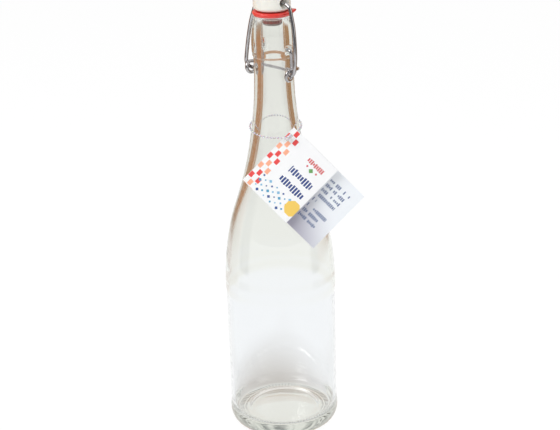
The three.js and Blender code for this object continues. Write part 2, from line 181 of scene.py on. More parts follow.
# The camera stands where the photograph was taken from.
TOWARD = Vector((math.sqrt(0.5), -math.sqrt(0.5), 0))
RIGHTWARD = Vector((math.sqrt(0.5), math.sqrt(0.5), 0))
UPWARD = Vector((0, 0, 1))
CAMERA_DISTANCE = 1.0
CAMERA_HEIGHT = 0.539
CAMERA_SIDE = 1.1 * MM
CAMERA_PITCH = math.radians(20.75)
CAMERA_ROLL = math.radians(1.8)
CAMERA_LENS = 95.4
SENSOR_WIDTH = 36
FLOOR_REACH = 6
LIT_PLACE = Vector((0, 0, 0.17))
DULL_HEIGHTS = (0.08, 0.2)
# Boards: azimuths from behind, distance, heights, tone, where it fades in, and its low tone
BOARDS = (
    ("Brown board, left", (-84, -25), 0.36, (0.0, 0.5), "BC8558", (0.02, 0.12), "A8937D"),
    ("Brown board, right", (29, 92), 0.5, (0.0, 0.5), "A88059", (0.0, 0.04)),
    ("Brown board, behind", (-60, 60), 1.9, (0.075, 0.9), "B98A63"),
    ("Grey board, left", (-112, -86), 0.5, (0.0, 0.5), "77787C"),
    ("Grey board, right", (86, 112), 0.5, (0.0, 0.5), "77706A"),
)

# Light in the glass is late after this many turns, of which a mirrored one weighs more; late
# light is replaced by a painted glow
LATE_DEPTH = 7.5
MIRROR_WEIGHT = 3.0


def length(name, description, default):
    """A length that the panel shows."""
    return FloatProperty(name=name, description=description, default=default, unit="LENGTH")


def colour(name, description, default):
    """A colour that the panel shows."""
    return FloatVectorProperty(name=name, description=description, default=default,
                               size=3, subtype="COLOR", min=0, max=1)


class GlassSettings(bpy.types.PropertyGroup):
    """Sizes and colour of the glass."""

    lip_height: length("Lip height", "Height of the glass up to its lip", 307 * MM)
    body_radius: length("Body radius", "Outside radius of the straight body", 40.2 * MM)
    body_height: length("Body height", "Height at which the shoulder starts", 112.5 * MM)
    neck_radius: length("Neck radius", "Outside radius of the neck under its finish", 14 * MM)
    wall: length("Wall", "Thickness of the body's wall", 2.4 * MM)
    segments: IntProperty(
        name="Segments", description="Steps round the axis, four for each knurl of the base",
        default=336, min=48)
    tint: colour("Tint", "Colour that the glass gives to light in a long way through it",
                  (0.72, 0.74, 0.66))


class ClosureSettings(bpy.types.PropertyGroup):
    """Sizes and colours of the stopper, its washer and the two wires."""

    stopper_radius: length("Stopper radius", "Largest radius of the porcelain", 13.2 * MM)
    stopper_height: length("Stopper height", "Height of the porcelain above its washer",
                           17.2 * MM)
    washer_thickness: length("Washer thickness", "Height of the rubber ring", 3 * MM)
    lever_wire: length("Lever wire", "Diameter of the wire with the two coils", 2.5 * MM)
    bail_wire: length("Bail wire", "Diameter of the wire that runs through the stopper",
                      2.7 * MM)
    glaze: colour("Glaze", "Colour of the glazed porcelain", (0.9, 0.885, 0.83))
    rubber: colour("Rubber", "Colour of the washer", (0.8, 0.038, 0.03))


class TagSettings(bpy.types.PropertyGroup):
    """Sizes and colours of the card tag and its nylon loop."""

    card_length: length("Card length", "Length of the card along its fold", 51 * MM)
    front_width: length("Front leaf", "Width of the short leaf in front", 42.7 * MM)
    back_width: length("Back leaf", "Width of the long leaf behind it", 69 * MM)
    bead_pitch: length("Bead pitch", "Distance between two beads of the loop", 2.8 * MM)
    card: colour("Card", "Colour of the bare coated card", (0.955, 0.96, 0.97))


class StudioSettings(bpy.types.PropertyGroup):
    """Light of the plain studio."""

    key_power: FloatProperty(
        name="Key light", description="Power of the large soft light on the left",
        default=7.4, min=0, subtype="POWER", unit="POWER")
    fill_power: FloatProperty(
        name="Fill light", description="Power of the soft light on the right",
        default=2.0, min=0, subtype="POWER", unit="POWER")
    room_light: FloatProperty(
        name="Room light", description="Strength of the even light from all round",
        default=0.62, min=0)


# ---------------------------------------------------------------- small tools

def from_hex(code):
    """A linear RGBA colour from an sRGB hex value such as F2F0E6."""
    def channel(value):
        value /= 255
        return value / 12.92 if value <= 0.04045 else ((value + 0.055) / 1.055) ** 2.4
    return tuple(channel(int(code[i:i + 2], 16)) for i in (0, 2, 4)) + (1.0,)


def add_node(tree, kind, inputs=(), **settings):
    """Adds a node with its settings and links.

    Its inputs are values, sRGB hex codes, sockets or nodes, by name or in order. A node
    stands for its first output in use, and a kind is a shader's unless it says otherwise.
    """
    made = tree.nodes.new(kind if "Node" in kind else "ShaderNode" + kind)
    for field, value in settings.items():
        setattr(made, field, value)
    for key, value in inputs.items() if isinstance(inputs, dict) else enumerate(inputs):
        if isinstance(value, bpy.types.Node):
            value = next(output for output in value.outputs if output.enabled)
        if isinstance(value, bpy.types.NodeSocket):
            tree.links.new(value, made.inputs[key])
        else:
            value = from_hex(value) if isinstance(value, str) else value
            made.inputs[key].default_value = value
    return made


def emptied(owner):
    """Empties the tree of a material or a world; returns what adds nodes to it."""
    owner.use_nodes = True
    owner.node_tree.nodes.clear()
    return partial(add_node, owner.node_tree)


def new_material(name):
    """An empty material, what adds nodes to it, and the place on the object."""
    material = bpy.data.materials.new(name)
    add = emptied(material)
    return material, add, add("TexCoord").outputs["Object"]


def new_object(name, mesh):
    """Puts a mesh in the scene as a piece."""
    piece = bpy.data.objects.new(name, mesh)
    bpy.context.scene.collection.objects.link(piece)
    return piece


def chain_mesh(name, points):
    """A mesh of single edges through the points, as the source of a geometry tree."""
    mesh = bpy.data.meshes.new(name)
    mesh.from_pydata(points, [(i, i + 1) for i in range(len(points) - 1)], [])
    return mesh


def settled(piece, name):
    """A piece's mesh with its modifiers applied; they are then removed."""
    bpy.context.view_layer.update()
    depsgraph = bpy.context.evaluated_depsgraph_get()
    mesh = bpy.data.meshes.new_from_object(piece.evaluated_get(depsgraph))
    mesh.name = name
    piece.modifiers.clear()
    return mesh


def grow(name, tree, source, values):
    """Runs a geometry tree on a source mesh and keeps the result as a plain piece."""
    carrier = new_object(name + "_source", source)
    modifier = carrier.modifiers.new("Tree", "NODES")
    modifier.node_group = tree
    for item in tree.interface.items_tree:
        if item.in_out == "INPUT" and values.get(item.name) is not None:
            modifier[item.identifier] = values[item.name]
    mesh = settled(carrier, name)
    bpy.data.objects.remove(carrier)
    return new_object(name, mesh)


def revolve(name, outline, segments, finish=None):
    """Turns an outline of (radius, height) points about Z into a piece."""
    source = chain_mesh(name + "_outline", [(radius, 0, level) for radius, level in outline])
    return grow(name, revolving_tree(), source, {
        "Segments": segments, "Points": len(outline), "Material": finish})


def face_outwards(mesh):
    """Closes seams and poles and turns all faces outwards."""
    shell = bmesh.new()
    shell.from_mesh(mesh)
    bmesh.ops.remove_doubles(shell, verts=shell.verts, dist=MERGE)
    bmesh.ops.dissolve_degenerate(shell, edges=shell.edges, dist=MERGE)
    bmesh.ops.recalc_face_normals(shell, faces=shell.faces)
    shell.to_mesh(mesh)
    shell.free()
    mesh.shade_smooth()


def finish_piece(piece, body, slot, *nodes):
    """Ties a finished piece to its body and hides the CAD nodes that it stands for; its finish
    is not used.
    """
    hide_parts(*nodes)
    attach(piece, body)


def spline_point(points, t):
    """A point of the centripetal curve through the points, t from 0 to 1 over its spans."""
    last = len(points) - 1
    place = last * t
    span = min(int(place), last - 1)
    weight = place - span
    before = points[span - 1] if span > 0 else points[0] * 2 - points[1]
    after = points[span + 2] if span + 2 <= last else points[last] * 2 - points[last - 1]
    start, end = points[span], points[span + 1]
    step = math.sqrt((end - start).length)
    step_before = math.sqrt((start - before).length) or step
    step_after = math.sqrt((after - end).length) or step
    leave = ((start - before) / step_before - (end - before) / (step_before + step)
             + (end - start) / step) * step
    arrive = ((end - start) / step - (after - start) / (step + step_after)
              + (after - end) / step_after) * step
    return (start + leave * weight
            + (start * -3 + end * 3 - leave * 2 - arrive) * weight ** 2
            + (start * 2 - end * 2 + leave + arrive) * weight ** 3)


def spline(points, count):
    """Evenly numbered points of the centripetal curve through a few points."""
    return [spline_point(points, k / count) for k in range(count + 1)]


def quarter(start, end, corner, count):
    """Points of a quarter ellipse in the (radius, height) plane, bulging to the corner."""
    middle = (start[0] + end[0] - corner[0], start[1] + end[1] - corner[1])
    angles = [math.pi / 2 * k / count for k in range(1, count + 1)]
    return [tuple(middle[i] + (start[i] - middle[i]) * math.cos(angle)
                  + (end[i] - middle[i]) * math.sin(angle) for i in (0, 1))
            for angle in angles]


def line(start, end, count, curve=float):
    """Points of a line in the (radius, height) plane, whose radius may follow a curve.

    Its start is left out.
    """
    return [(start[0] + (end[0] - start[0]) * curve(k / count),
             start[1] + (end[1] - start[1]) * k / count) for k in range(1, count + 1)]


def dome(radius, level, rise, count):
    """Points from the axis, where a dome stands higher than a level, out to its radius."""
    return [(radius * k / count, level + rise * (1 - (k / count) ** 2))
            for k in range(count + 1)]


def eased(part):
    """0 to 1 with a soft start and end."""
    part = min(1.0, max(0.0, part))
    return (1 - math.cos(math.pi * part)) / 2


# ---------------------------------------------------------------- geometry trees

def new_tree(name, inputs):
    """A geometry tree that takes a geometry, a material and the named inputs.

    Returns the tree, what adds nodes to it, and its inputs.
    """
    tree = bpy.data.node_groups.new(name, "GeometryNodeTree")
    tree.interface.new_socket("Geometry", in_out="OUTPUT", socket_type="NodeSocketGeometry")
    for label, kind in {"Geometry": "Geometry", **inputs, "Material": "Material"}.items():
        tree.interface.new_socket(label, in_out="INPUT", socket_type="NodeSocket" + kind)
    add = partial(add_node, tree)
    return tree, add, add("NodeGroupInput").outputs


def end_tree(tree, add, source, geometry):
    """Ends a geometry tree in smooth, real geometry with its material."""
    smooth = add("GeometryNodeSetShadeSmooth", [geometry])
    real = add("GeometryNodeRealizeInstances", [smooth])
    painted = add("GeometryNodeSetMaterial", {
        "Geometry": real, "Material": source["Material"]})
    add("NodeGroupOutput", [painted])
    return tree


def revolving_tree():
    """Revolves an outline, a chain of (radius, 0, height) points, about Z."""
    tree, add, source = new_tree("Revolve an outline", {"Segments": "Int", "Points": "Int"})
    segments, points = source["Segments"], source["Points"]
    columns = add("Math", [segments, 1.0], operation="ADD")
    grid = add("GeometryNodeMeshGrid", {"Vertices X": columns, "Vertices Y": points})
    index = add("GeometryNodeInputIndex")
    ratio = add("Math", [index, points], operation="DIVIDE")
    column = add("Math", [ratio], operation="FLOOR")
    row = add("Math", [index, points], operation="MODULO")
    turn = add("Math", [column, segments], operation="DIVIDE")
    angle = add("Math", [turn, math.tau], operation="MULTIPLY")
    place = add("GeometryNodeInputPosition")
    outline = add("GeometryNodeSampleIndex", {
        "Geometry": source["Geometry"], "Value": place, "Index": row},
        data_type="FLOAT_VECTOR", domain="POINT")
    turned = add("VectorRotate", {"Vector": outline, "Axis": (0, 0, 1), "Angle": angle})
    swept = add("GeometryNodeSetPosition", {"Geometry": grid, "Position": turned})
    closed = add("GeometryNodeMergeByDistance", {"Geometry": swept, "Distance": MERGE})
    return end_tree(tree, add, source, closed)


def sweep(add, source, sides):
    """A chain of points as a path, and a round section swept along it."""
    path = add("GeometryNodeMeshToCurve", {"Mesh": source["Geometry"]})
    section = add("GeometryNodeCurvePrimitiveCircle", {
        "Resolution": sides, "Radius": source["Radius"]})
    return path, add("GeometryNodeCurveToMesh", {
        "Curve": path, "Profile Curve": section, "Fill Caps": True})


def wire_tree():
    """Sweeps a round wire along a chain of points."""
    tree, add, source = new_tree("Sweep a wire", {"Radius": "Float", "Sides": "Int"})
    return end_tree(tree, add, source, sweep(add, source, source["Sides"])[1])


def beaded_tree():
    """Threads beads at an even pitch on a thin round strand."""
    tree, add, source = new_tree("Beaded strand", {
        "Radius": "Float", "Bead radius": "Float", "Beads": "Int"})
    path, strand = sweep(add, source, 8)
    places = add("GeometryNodeCurveToPoints", {
        "Curve": path, "Count": source["Beads"]}, mode="COUNT")
    bead = add("GeometryNodeMeshUVSphere", {
        "Segments": 10, "Rings": 7, "Radius": source["Bead radius"]})
    threaded = add("GeometryNodeInstanceOnPoints", {
        "Points": places, "Instance": bead, "Rotation": places.outputs["Rotation"],
        "Scale": (1, 1, 1.25)})
    joined = add("GeometryNodeJoinGeometry", [strand])
    tree.links.new(threaded.outputs[0], joined.inputs[0])
    return end_tree(tree, add, source, joined)


# ---------------------------------------------------------------- finishes

def soda_lime_glass(tint):
    """Clear soda-lime glass, blown in a mould and fire polished.

    It refracts at 1.52. Its surface is smooth to the touch but slightly wavy over a
    centimetre or two, which bends what stands behind it, and iron tints its thick places
    faintly green. The knurls that it stands on are scuffed dull, and their tips carry a dark
    painted shade, fainter on the front side. Light from the lamps passes through it to the
    floor, and light that has bounced about inside for long is replaced by a painted glow in
    pale and grey streaks.
    """
    material, add, place = new_material("Fire polished soda-lime glass")
    waves = add("TexNoise", {
        "Vector": place, "Scale": 1 / (18 * MM), "Detail": 1.5, "Roughness": 0.4})
    bump = add("Bump", {"Height": waves, "Strength": 0.12, "Distance": 0.6 * MM})
    clear = add("BsdfPrincipled", {
        "Base Color": (1, 1, 1, 1), "Roughness": 0.0, "IOR": 1.52, "Transmission Weight": 1.0,
        "Normal": bump})
    passing = add("BsdfTransparent", {"Color": (0.93, 0.935, 0.925, 1)})
    rays = add("LightPath").outputs
    mixed = add("MixShader", [rays["Is Shadow Ray"], clear, passing])
    reflected = add("Math", [rays["Glossy Depth"], MIRROR_WEIGHT], operation="MULTIPLY")
    turns = add("Math", [rays["Ray Depth"], reflected], operation="MAXIMUM")
    late = add("Math", [turns, LATE_DEPTH], operation="GREATER_THAN")
    # Painted glow: late light comes out as pale and grey streaks of emission
    flattened = add("Mapping", {"Vector": place, "Scale": (1, 1, 4)})
    streaks = add("TexNoise", {"Vector": flattened, "Scale": 1 / (7 * MM), "Detail": 3})
    streak = add("MapRange", {"Value": streaks, "From Min": 0.46, "From Max": 0.62})
    tone = add("Mix", {"Factor": streak, 6: "FFFFFF", 7: "9FA1A3"}, data_type="RGBA")
    pale = add("Emission", {"Color": tone})
    # Painted shade: a dark diffuse coat on the tips of the knurls
    scuffed = add("BsdfDiffuse", {"Color": (0.16, 0.15, 0.13, 1)})
    worn_and_shaded = add("MixShader", [knurl_shade_mask(add, place), mixed, scuffed])
    whole = add("MixShader", [late, worn_and_shaded, pale])
    depth = add("VolumeAbsorption", {"Color": (*tint, 1), "Density": GLASS_DENSITY})
    add("OutputMaterial", {"Surface": whole, "Volume": depth})
    return material


def knurl_shade_mask(add, place):
    """1 on the tips of the knurls under the base, where painted shade darkens them, less on
    the front side, else 0.
    """
    x, y, z = add("SeparateXYZ", [place]).outputs
    angle = add("Math", [y, x], operation="ARCTAN2")
    knurls = glass_settings().segments / STEPS_PER_KNURL
    turns = add("Math", [angle, knurls], operation="MULTIPLY")
    wave = add("Math", [turns], operation="COSINE")
    tip = add("MapRange", {"Value": wave, "From Min": 0.3, "From Max": 0.7})
    below = add("Math", [z, KNURL_LEVEL], operation="LESS_THAN")
    flat = add("VectorMath", [place, (1, 1, 0)], operation="MULTIPLY")
    radius = add("VectorMath", [flat], operation="LENGTH")
    mask = add("Math", [
        add("Math", [radius, middle, half], operation="COMPARE")
        for middle, half in KNURL_ROWS], operation="MAXIMUM")
    # Painted shade is fainter on the front side of the base
    side = add("VectorMath", [place, tuple(TOWARD)], operation="DOT_PRODUCT")
    polished = add("MapRange", {
        "Value": side, "From Min": -0.005, "From Max": 0.015, "To Min": 1.0, "To Max": 0.2},
        interpolation_type="SMOOTHSTEP")
    for part in (below, tip, polished):
        mask = add("Math", [mask, part], operation="MULTIPLY")
    return mask


def glazed_porcelain(glaze):
    """Glazed porcelain, slip cast and fired.

    A thick clear glaze over a warm white body gives it a sharp, bright highlight, with the
    faint unevenness of a fired surface and a few pin pricks.
    """
    material, add, place = new_material("Glazed porcelain")
    cloud = add("TexNoise", {"Vector": place, "Scale": 1 / (9 * MM), "Detail": 3})
    shade = add("Mix", {
        "Factor": cloud, 6: (*glaze, 1),
        7: tuple(c * 0.94 for c in glaze[:2]) + (glaze[2] * 0.9, 1)}, data_type="RGBA")
    pits = add("TexVoronoi", {"Vector": place, "Scale": 1 / (2.4 * MM)})
    pit = add("MapRange", {"Value": pits, "From Min": 0.0, "From Max": 0.08})
    pricked = add("Bump", {"Height": pit, "Strength": 0.15, "Distance": 0.05 * MM})
    waves = add("Bump", {
        "Height": cloud, "Strength": 0.2, "Distance": 0.3 * MM, "Normal": pricked})
    surface = add("BsdfPrincipled", {
        "Base Color": shade, "Roughness": 0.22, "IOR": 1.5, "Coat Weight": 1.0,
        "Coat Roughness": 0.04, "Subsurface Weight": 0.12, "Subsurface Scale": 1.2 * MM,
        "Subsurface Radius": (1.0, 0.8, 0.6), "Normal": waves})
    add("OutputMaterial", [surface])
    return material


def natural_rubber(dye):
    """Dyed natural rubber, moulded and slightly dusty with talc.

    It is satin, with a fine grain, and paler where talc clings. Its skirt inside the glass
    is pale at the top, then painted dark red and grey lower down as painted shade.
    """
    material, add, place = new_material("Moulded red rubber")
    dust = add("TexNoise", {
        "Vector": place, "Scale": 1 / (3 * MM), "Detail": 5, "Roughness": 0.65})
    amount = add("MapRange", {
        "Value": dust, "From Min": 0.45, "From Max": 0.8, "To Max": 0.16})
    painted = add("Mix", {"Factor": amount, 6: (*dye, 1), 7: "F28A78"}, data_type="RGBA")
    height = add("SeparateXYZ", [place]).outputs["Z"]
    lip = glass_settings().lip_height
    # Painted shade: below its pale top the skirt turns dark red, then grey deeper in the neck
    for drop, tone in SKIRT_TONES_AND_SHADE:
        below = add("MapRange", {
            "Value": height, "From Min": lip - drop, "From Max": lip - drop - SKIRT_FADE})
        painted = add("Mix", {"Factor": below, 6: painted, 7: tone}, data_type="RGBA")
    grain = add("TexNoise", {"Vector": place, "Scale": 1 / (0.35 * MM), "Detail": 2})
    bump = add("Bump", {"Height": grain, "Strength": 0.25, "Distance": 0.06 * MM})
    gloss = add("MapRange", {"Value": dust, "To Min": 0.18, "To Max": 0.42})
    surface = add("BsdfPrincipled", {
        "Base Color": painted, "Roughness": gloss, "Coat Weight": 0.35, "Coat Roughness": 0.12,
        "Subsurface Weight": 0.08, "Subsurface Scale": 0.8 * MM, "Normal": bump})
    add("OutputMaterial", [surface])
    return material


def drawn_steel():
    """Bright drawn stainless spring wire.

    Drawing leaves fine scratches along the wire and a soft mirror across it, and bending
    and handling leave it duller in patches.
    """
    material, add, place = new_material("Drawn stainless wire")
    stretched = add("Mapping", {"Vector": place, "Scale": (1, 1, 0.12)})
    scratches = add("TexNoise", {"Vector": stretched, "Scale": 1 / (0.4 * MM), "Detail": 3})
    patches = add("TexNoise", {"Vector": place, "Scale": 1 / (5 * MM), "Detail": 4})
    dulled = add("MapRange", {
        "Value": patches, "From Min": 0.3, "From Max": 0.75, "To Min": 0.06, "To Max": 0.22})
    shade = add("Mix", {"Factor": patches, 6: "D0CFD2", 7: "938F8E"}, data_type="RGBA")
    bump = add("Bump", {"Height": scratches, "Strength": 0.2, "Distance": 0.04 * MM})
    surface = add("BsdfPrincipled", {
        "Base Color": shade, "Metallic": 1.0, "Roughness": dulled, "Normal": bump})
    add("OutputMaterial", [surface])
    return material


def clear_nylon():
    """Clear moulded nylon, milky in the mass and glossy outside."""
    material, add, place = new_material("Clear moulded nylon")
    cloud = add("TexNoise", {"Vector": place, "Scale": 1 / (2 * MM), "Detail": 2})
    shade = add("Mix", {"Factor": cloud, 6: "FBFAFF", 7: "ECE9F5"}, data_type="RGBA")
    gloss = add("MapRange", {"Value": cloud, "To Min": 0.15, "To Max": 0.35})
    surface = add("BsdfPrincipled", {
        "Base Color": shade, "Roughness": gloss, "IOR": 1.53, "Transmission Weight": 0.5,
        "Subsurface Weight": 0.2, "Subsurface Scale": 0.5 * MM})
    add("OutputMaterial", [surface])
    return material


# Print of the card, in millimetres down the fold and across from it. Rows of plain strokes
# stand where such a card has words: (down, first and last across, pitch, heights, ink).
FRONT_ROWS = [
    (8.6, 22.2, 37, 1.6, (0.9, 1.7), "D2333F"),
    (21.8, 18.2, 38, 2.15, (1.7, 2.6), "123A86"),
    (30.9, 17.4, 38.4, 2.15, (1.7, 2.6), "123A86"),
]
BACK_ROWS = [(8.2, 62.6), (12.6, 62), (17, 61), (21.4, 60.2), (25.8, 47), (31.2, 61.6),
             (35.6, 60.4), (40, 59.6)]
BLUES = ("1F4F96", "3C9DC4", "7FBBDD")
SEAL = ((41.2, 38.6), 0.72, 5.5)
DIAMONDS = [((13.4, 29.6), 1.9, "5FA04E"), ((12.6, 25.4), 0.9, "D03A45"),
            ((12.6, 33.8), 0.9, "D03A45")]


def printed_card(name, stock, side):
    """Coated card, offset printed on the side named: front, back or bare. The back also
    carries a painted shadow of the front leaf.

    It is smooth and slightly glossy, with the faint unevenness of pressed fibres, and its
    inks are a little uneven as well. The print follows the card's own map, which holds
    decimetres: across from the fold, and down along it.
    """
    material, add, _ = new_material(name)
    card_map = add("UVMap", uv_map="print")
    place = add("VectorMath", [card_map, (100, 100, 0)], operation="MULTIPLY")
    across, down, _ = add("SeparateXYZ", [place]).outputs
    # The place is in millimetres here, so there are 1.8 flocks of fibre to each
    fibres = add("TexNoise", {"Vector": place, "Scale": 1.8, "Detail": 4, "Roughness": 0.6})
    paint = add("Mix", {
        "Factor": fibres, 6: (*stock, 1), 7: tuple(c * 0.985 for c in stock) + (1,)},
        data_type="RGBA")
    coverage = add("MapRange", {"Value": fibres, "To Min": 0.92, "To Max": 1.0})

    def cover(paint, mask, ink):
        """Ink over what is there, where the mask is 1."""
        amount = add("Math", [mask, coverage], operation="MULTIPLY")
        return add("Mix", {"Factor": amount, 6: paint, 7: ink}, data_type="RGBA")

    def within(value, middle, half):
        """1 where a value is closer to the middle than half."""
        return add("Math", [value, middle, half], operation="COMPARE")

    def both(first, second):
        """1 where both masks are 1."""
        return add("Math", [first, second], operation="MULTIPLY")

    def disc(centre, share, size):
        """1 closer to a centre than a size; a diamond for a share of 1, else an octagon."""
        offset = add("VectorMath", [place, (centre[1], centre[0], 0)], operation="SUBTRACT")
        span = add("VectorMath", [offset], operation="ABSOLUTE")
        parts = add("SeparateXYZ", [span]).outputs[:2]
        longer = add("Math", parts, operation="MAXIMUM")
        total = add("Math", parts, operation="ADD")
        scaled = add("Math", [total, share], operation="MULTIPLY")
        reach = add("Math", [longer, scaled], operation="MAXIMUM")
        return add("Math", [reach, size], operation="LESS_THAN")

    def strokes(row, first, last, pitch, heights, gaps):
        """1 within a row of upright strokes of uneven height, with gaps between groups."""
        count = add("Math", [across, pitch], operation="DIVIDE")
        step = add("Math", [count], operation="FLOOR")
        rest = add("Math", [count], operation="FRACT")
        seed = add("Math", [step, row * 7.3], operation="ADD")
        uneven = add("TexWhiteNoise", {"W": seed}, noise_dimensions="1D")
        printed = add("Math", [uneven, gaps], operation="GREATER_THAN")
        height = add("MapRange", {
            "Value": uneven, "From Min": 0.35, "From Max": 0.65, "To Min": heights[0],
            "To Max": heights[1]})
        mask = both(both(within(down, row, height), within(rest, 0.5, 0.34)), printed)
        return both(mask, within(across, (first + last) / 2, (last - first) / 2))

    if side == "front":
        paint = check_border(add, across, down, paint, cover, within, both)
        for row, first, last, pitch, heights, ink in FRONT_ROWS:
            paint = cover(paint, strokes(row, first, last, pitch, heights, 0), ink)
        marks = list(DIAMONDS)
        for k in range(27):
            row, column = divmod(k, 9)
            marks.append(((38 + row * 4.3 + (column % 2) * 1.9, 8.6 + column * 3.1),
                          (0.9, 1.3, 0.7)[(k * 2 + row) % 3], BLUES[(k + row) % 3]))
        for centre, size, ink in marks:
            paint = cover(paint, disc(centre, 1.0, size), ink)
        paint = cover(paint, disc(*SEAL), "F8CF58")
    elif side == "back":
        # Painted shadow of the front leaf: a grey tint, darkest in the lower corner beside it
        slope = add("VectorMath", [place, (-0.6, 0.8, 0)], operation="DOT_PRODUCT")
        tint = add("MapRange", {
            "Value": slope, "From Min": -22.0, "From Max": 24.0},
            interpolation_type="SMOOTHSTEP")
        paint = add("Mix", {"Factor": tint, 6: paint, 7: "9C97AC"}, data_type="RGBA")
        for row, last in BACK_ROWS:
            paint = cover(paint, strokes(row, 44, last, 1.45, (0.75, 1.3), 0.2), "5A6E9A")
    bump = add("Bump", {"Height": fibres, "Strength": 0.12, "Distance": 0.08 * MM})
    surface = add("BsdfPrincipled", {"Base Color": paint, "Roughness": 0.42, "Normal": bump})
    add("OutputMaterial", [surface])
    return material


def check_border(add, across, down, paint, cover, within, both):
    """Three rows of checks along the fold, red and peach in turn."""
    masks, steps = [], []
    for value, size, half in ((down, 4.6, 0.44), (across, 3.3, 0.45)):
        cell = add("Math", [value, size], operation="DIVIDE")
        steps.append(add("Math", [cell], operation="FLOOR"))
        rest = add("Math", [cell], operation="FRACT")
        masks.append(within(rest, 0.5, half))
    total = add("Math", steps, operation="ADD")
    odd = add("Math", [total, 2.0], operation="FLOORED_MODULO")
    filled = both(both(both(*masks), odd), within(across, 4.95, 4.95))
    pair = add("Math", [down, 18.4], operation="FLOORED_MODULO")
    peach = add("Math", [pair, 9.2], operation="GREATER_THAN")
    ink = add("Mix", {"Factor": peach, 6: "EE3B38", 7: "FFB08C"}, data_type="RGBA")
    return cover(paint, filled, ink)


# ---------------------------------------------------------------- glass

def glass_settings():
    """Sizes of the glass, as the panel holds them."""
    return bpy.context.scene.swing_glass


def closure_settings():
    """Sizes of the stopper, washer and wires, as the panel holds them."""
    return bpy.context.scene.swing_closure


def tag_settings():
    """Sizes of the card and its loop, as the panel holds them."""
    return bpy.context.scene.swing_tag


def shoulder_points(count):
    """(radius, height) down the outside of the shoulder, from the neck to the body."""
    glass = glass_settings()
    top = glass.lip_height - NECK_TOP_DROP
    guides = [Vector((
        glass.neck_radius + (glass.body_radius - glass.neck_radius) * swell, 0,
        top + (glass.body_height - top) * drop)) for drop, swell in SHOULDER_SHARES]
    return [(p.x, p.z) for p in spline(guides, count)]


def glass_radius(height):
    """Outside radius of the neck and shoulder at a height."""
    points = shoulder_points(200)
    if height >= points[0][1]:
        return points[0][0]
    for (radius, level), (next_radius, next_level) in zip(points, points[1:]):
        if next_level <= height:
            part = (level - height) / (level - next_level)
            return radius + (next_radius - radius) * part
    return points[-1][0]


def outer_outline():
    """The outside of the glass, from the middle of the base up to the lip."""
    glass = glass_settings()
    bearing = glass.body_radius - HEEL_WIDTH
    punt = bearing - BEARING_WIDTH
    outline = dome(punt, 0, PUNT_DEPTH, 24)
    outline += line(outline[-1], (bearing, 0), 20)
    outline += quarter((bearing, 0), (glass.body_radius, HEEL_HEIGHT),
                       (glass.body_radius, 0), 18)
    panel = glass.body_radius - PANEL_DEPTH
    low, high = HEEL_HEIGHT, glass.body_height - PANEL_MARGIN + PANEL_FADE
    for k in range(1, 31):
        level = low + (high - low) * k / 30
        sunk = eased((level - low) / PANEL_MARGIN) * eased((high - level) / PANEL_FADE)
        outline.append((glass.body_radius + (panel - glass.body_radius) * sunk, level))
    outline += reversed(shoulder_points(46))
    foot = glass.lip_height - FINISH_DROP
    rise = FINISH_BULGE * 1.4
    start = (FINISH_RADIUS, foot + rise)
    outline += line((glass.neck_radius, foot), start, 10, eased)
    pull = (FINISH_RADIUS + FINISH_BULGE, (foot + glass.lip_height) / 2 + FINISH_BULGE)
    end = (LIP_RADIUS, glass.lip_height - LIP_EDGE)
    for k in range(1, 41):
        t = k / 40
        outline.append(tuple(
            start[i] * (1 - t) ** 2 + pull[i] * 2 * t * (1 - t) + end[i] * t ** 2
            for i in (0, 1)))
    outline += quarter(end, (LIP_RADIUS - LIP_EDGE, glass.lip_height),
                       (LIP_RADIUS, glass.lip_height), 6)
    return outline


def wall_at(height):
    """Thickness of the wall at a height of the shoulder."""
    glass = glass_settings()
    top = glass.lip_height - NECK_TOP_DROP
    drop = (top - height) / (top - glass.body_height)
    start, end = WALL_FADE_SHARES
    thinned = NECK_WALL + (SHOULDER_WALL - NECK_WALL) * eased((drop - start) / (end - start))
    below = (glass.body_height + WALL_STEP - height) / WALL_STEP
    return thinned + (glass.wall - SHOULDER_WALL) * eased(below)


def inner_outline():
    """The inside of the glass, from the lip down to the middle of the floor."""
    glass = glass_settings()
    lip = glass.lip_height
    outline = [(BORE_RADIUS + LIP_EDGE, lip)]
    outline += quarter(outline[0], (BORE_RADIUS, lip - LIP_EDGE), (BORE_RADIUS, lip), 5)
    foot = lip - BORE_DEPTH
    outline += line(outline[-1], (BORE_RADIUS, foot), 6)
    throat = glass.neck_radius - NECK_WALL
    outline += line(outline[-1], (throat, foot - BORE_FADE), 8, eased)
    points = shoulder_points(40)
    for k, (radius, level) in enumerate(points):
        before, after = points[max(k - 1, 0)], points[min(k + 1, len(points) - 1)]
        slope = Vector((after[0] - before[0], after[1] - before[1])).normalized()
        wall = wall_at(level)
        outline.append((radius + slope.y * wall, level - slope.x * wall))
    inside = glass.body_radius - glass.wall
    top = (inside, BASE_THICKNESS + HEEL_HEIGHT * INNER_HEEL_SHARE)
    low = (inside - HEEL_WIDTH * INNER_HEEL_SHARE, BASE_THICKNESS)
    outline += line(outline[-1], top, 10)
    outline += quarter(top, low, (inside, BASE_THICKNESS), 16)
    return outline + dome(*low, PUNT_DEPTH, 10)[-2::-1]


def press_dimples(mesh):
    """Presses a blind, soft edged dimple into each side of the finish for the lever's ends."""
    glass = glass_settings()
    pivot = glass.lip_height - DIMPLE_DROP
    for vertex in mesh.vertices:
        place = vertex.co
        away = math.hypot(place.y, place.z - pivot)
        if away < DIMPLE_MOUTH and abs(place.x) > FINISH_RADIUS * 0.9:
            depth = DIMPLE_DEPTH * eased((DIMPLE_MOUTH - away) / (DIMPLE_MOUTH - DIMPLE_FLOOR))
            place.x -= math.copysign(depth, place.x)


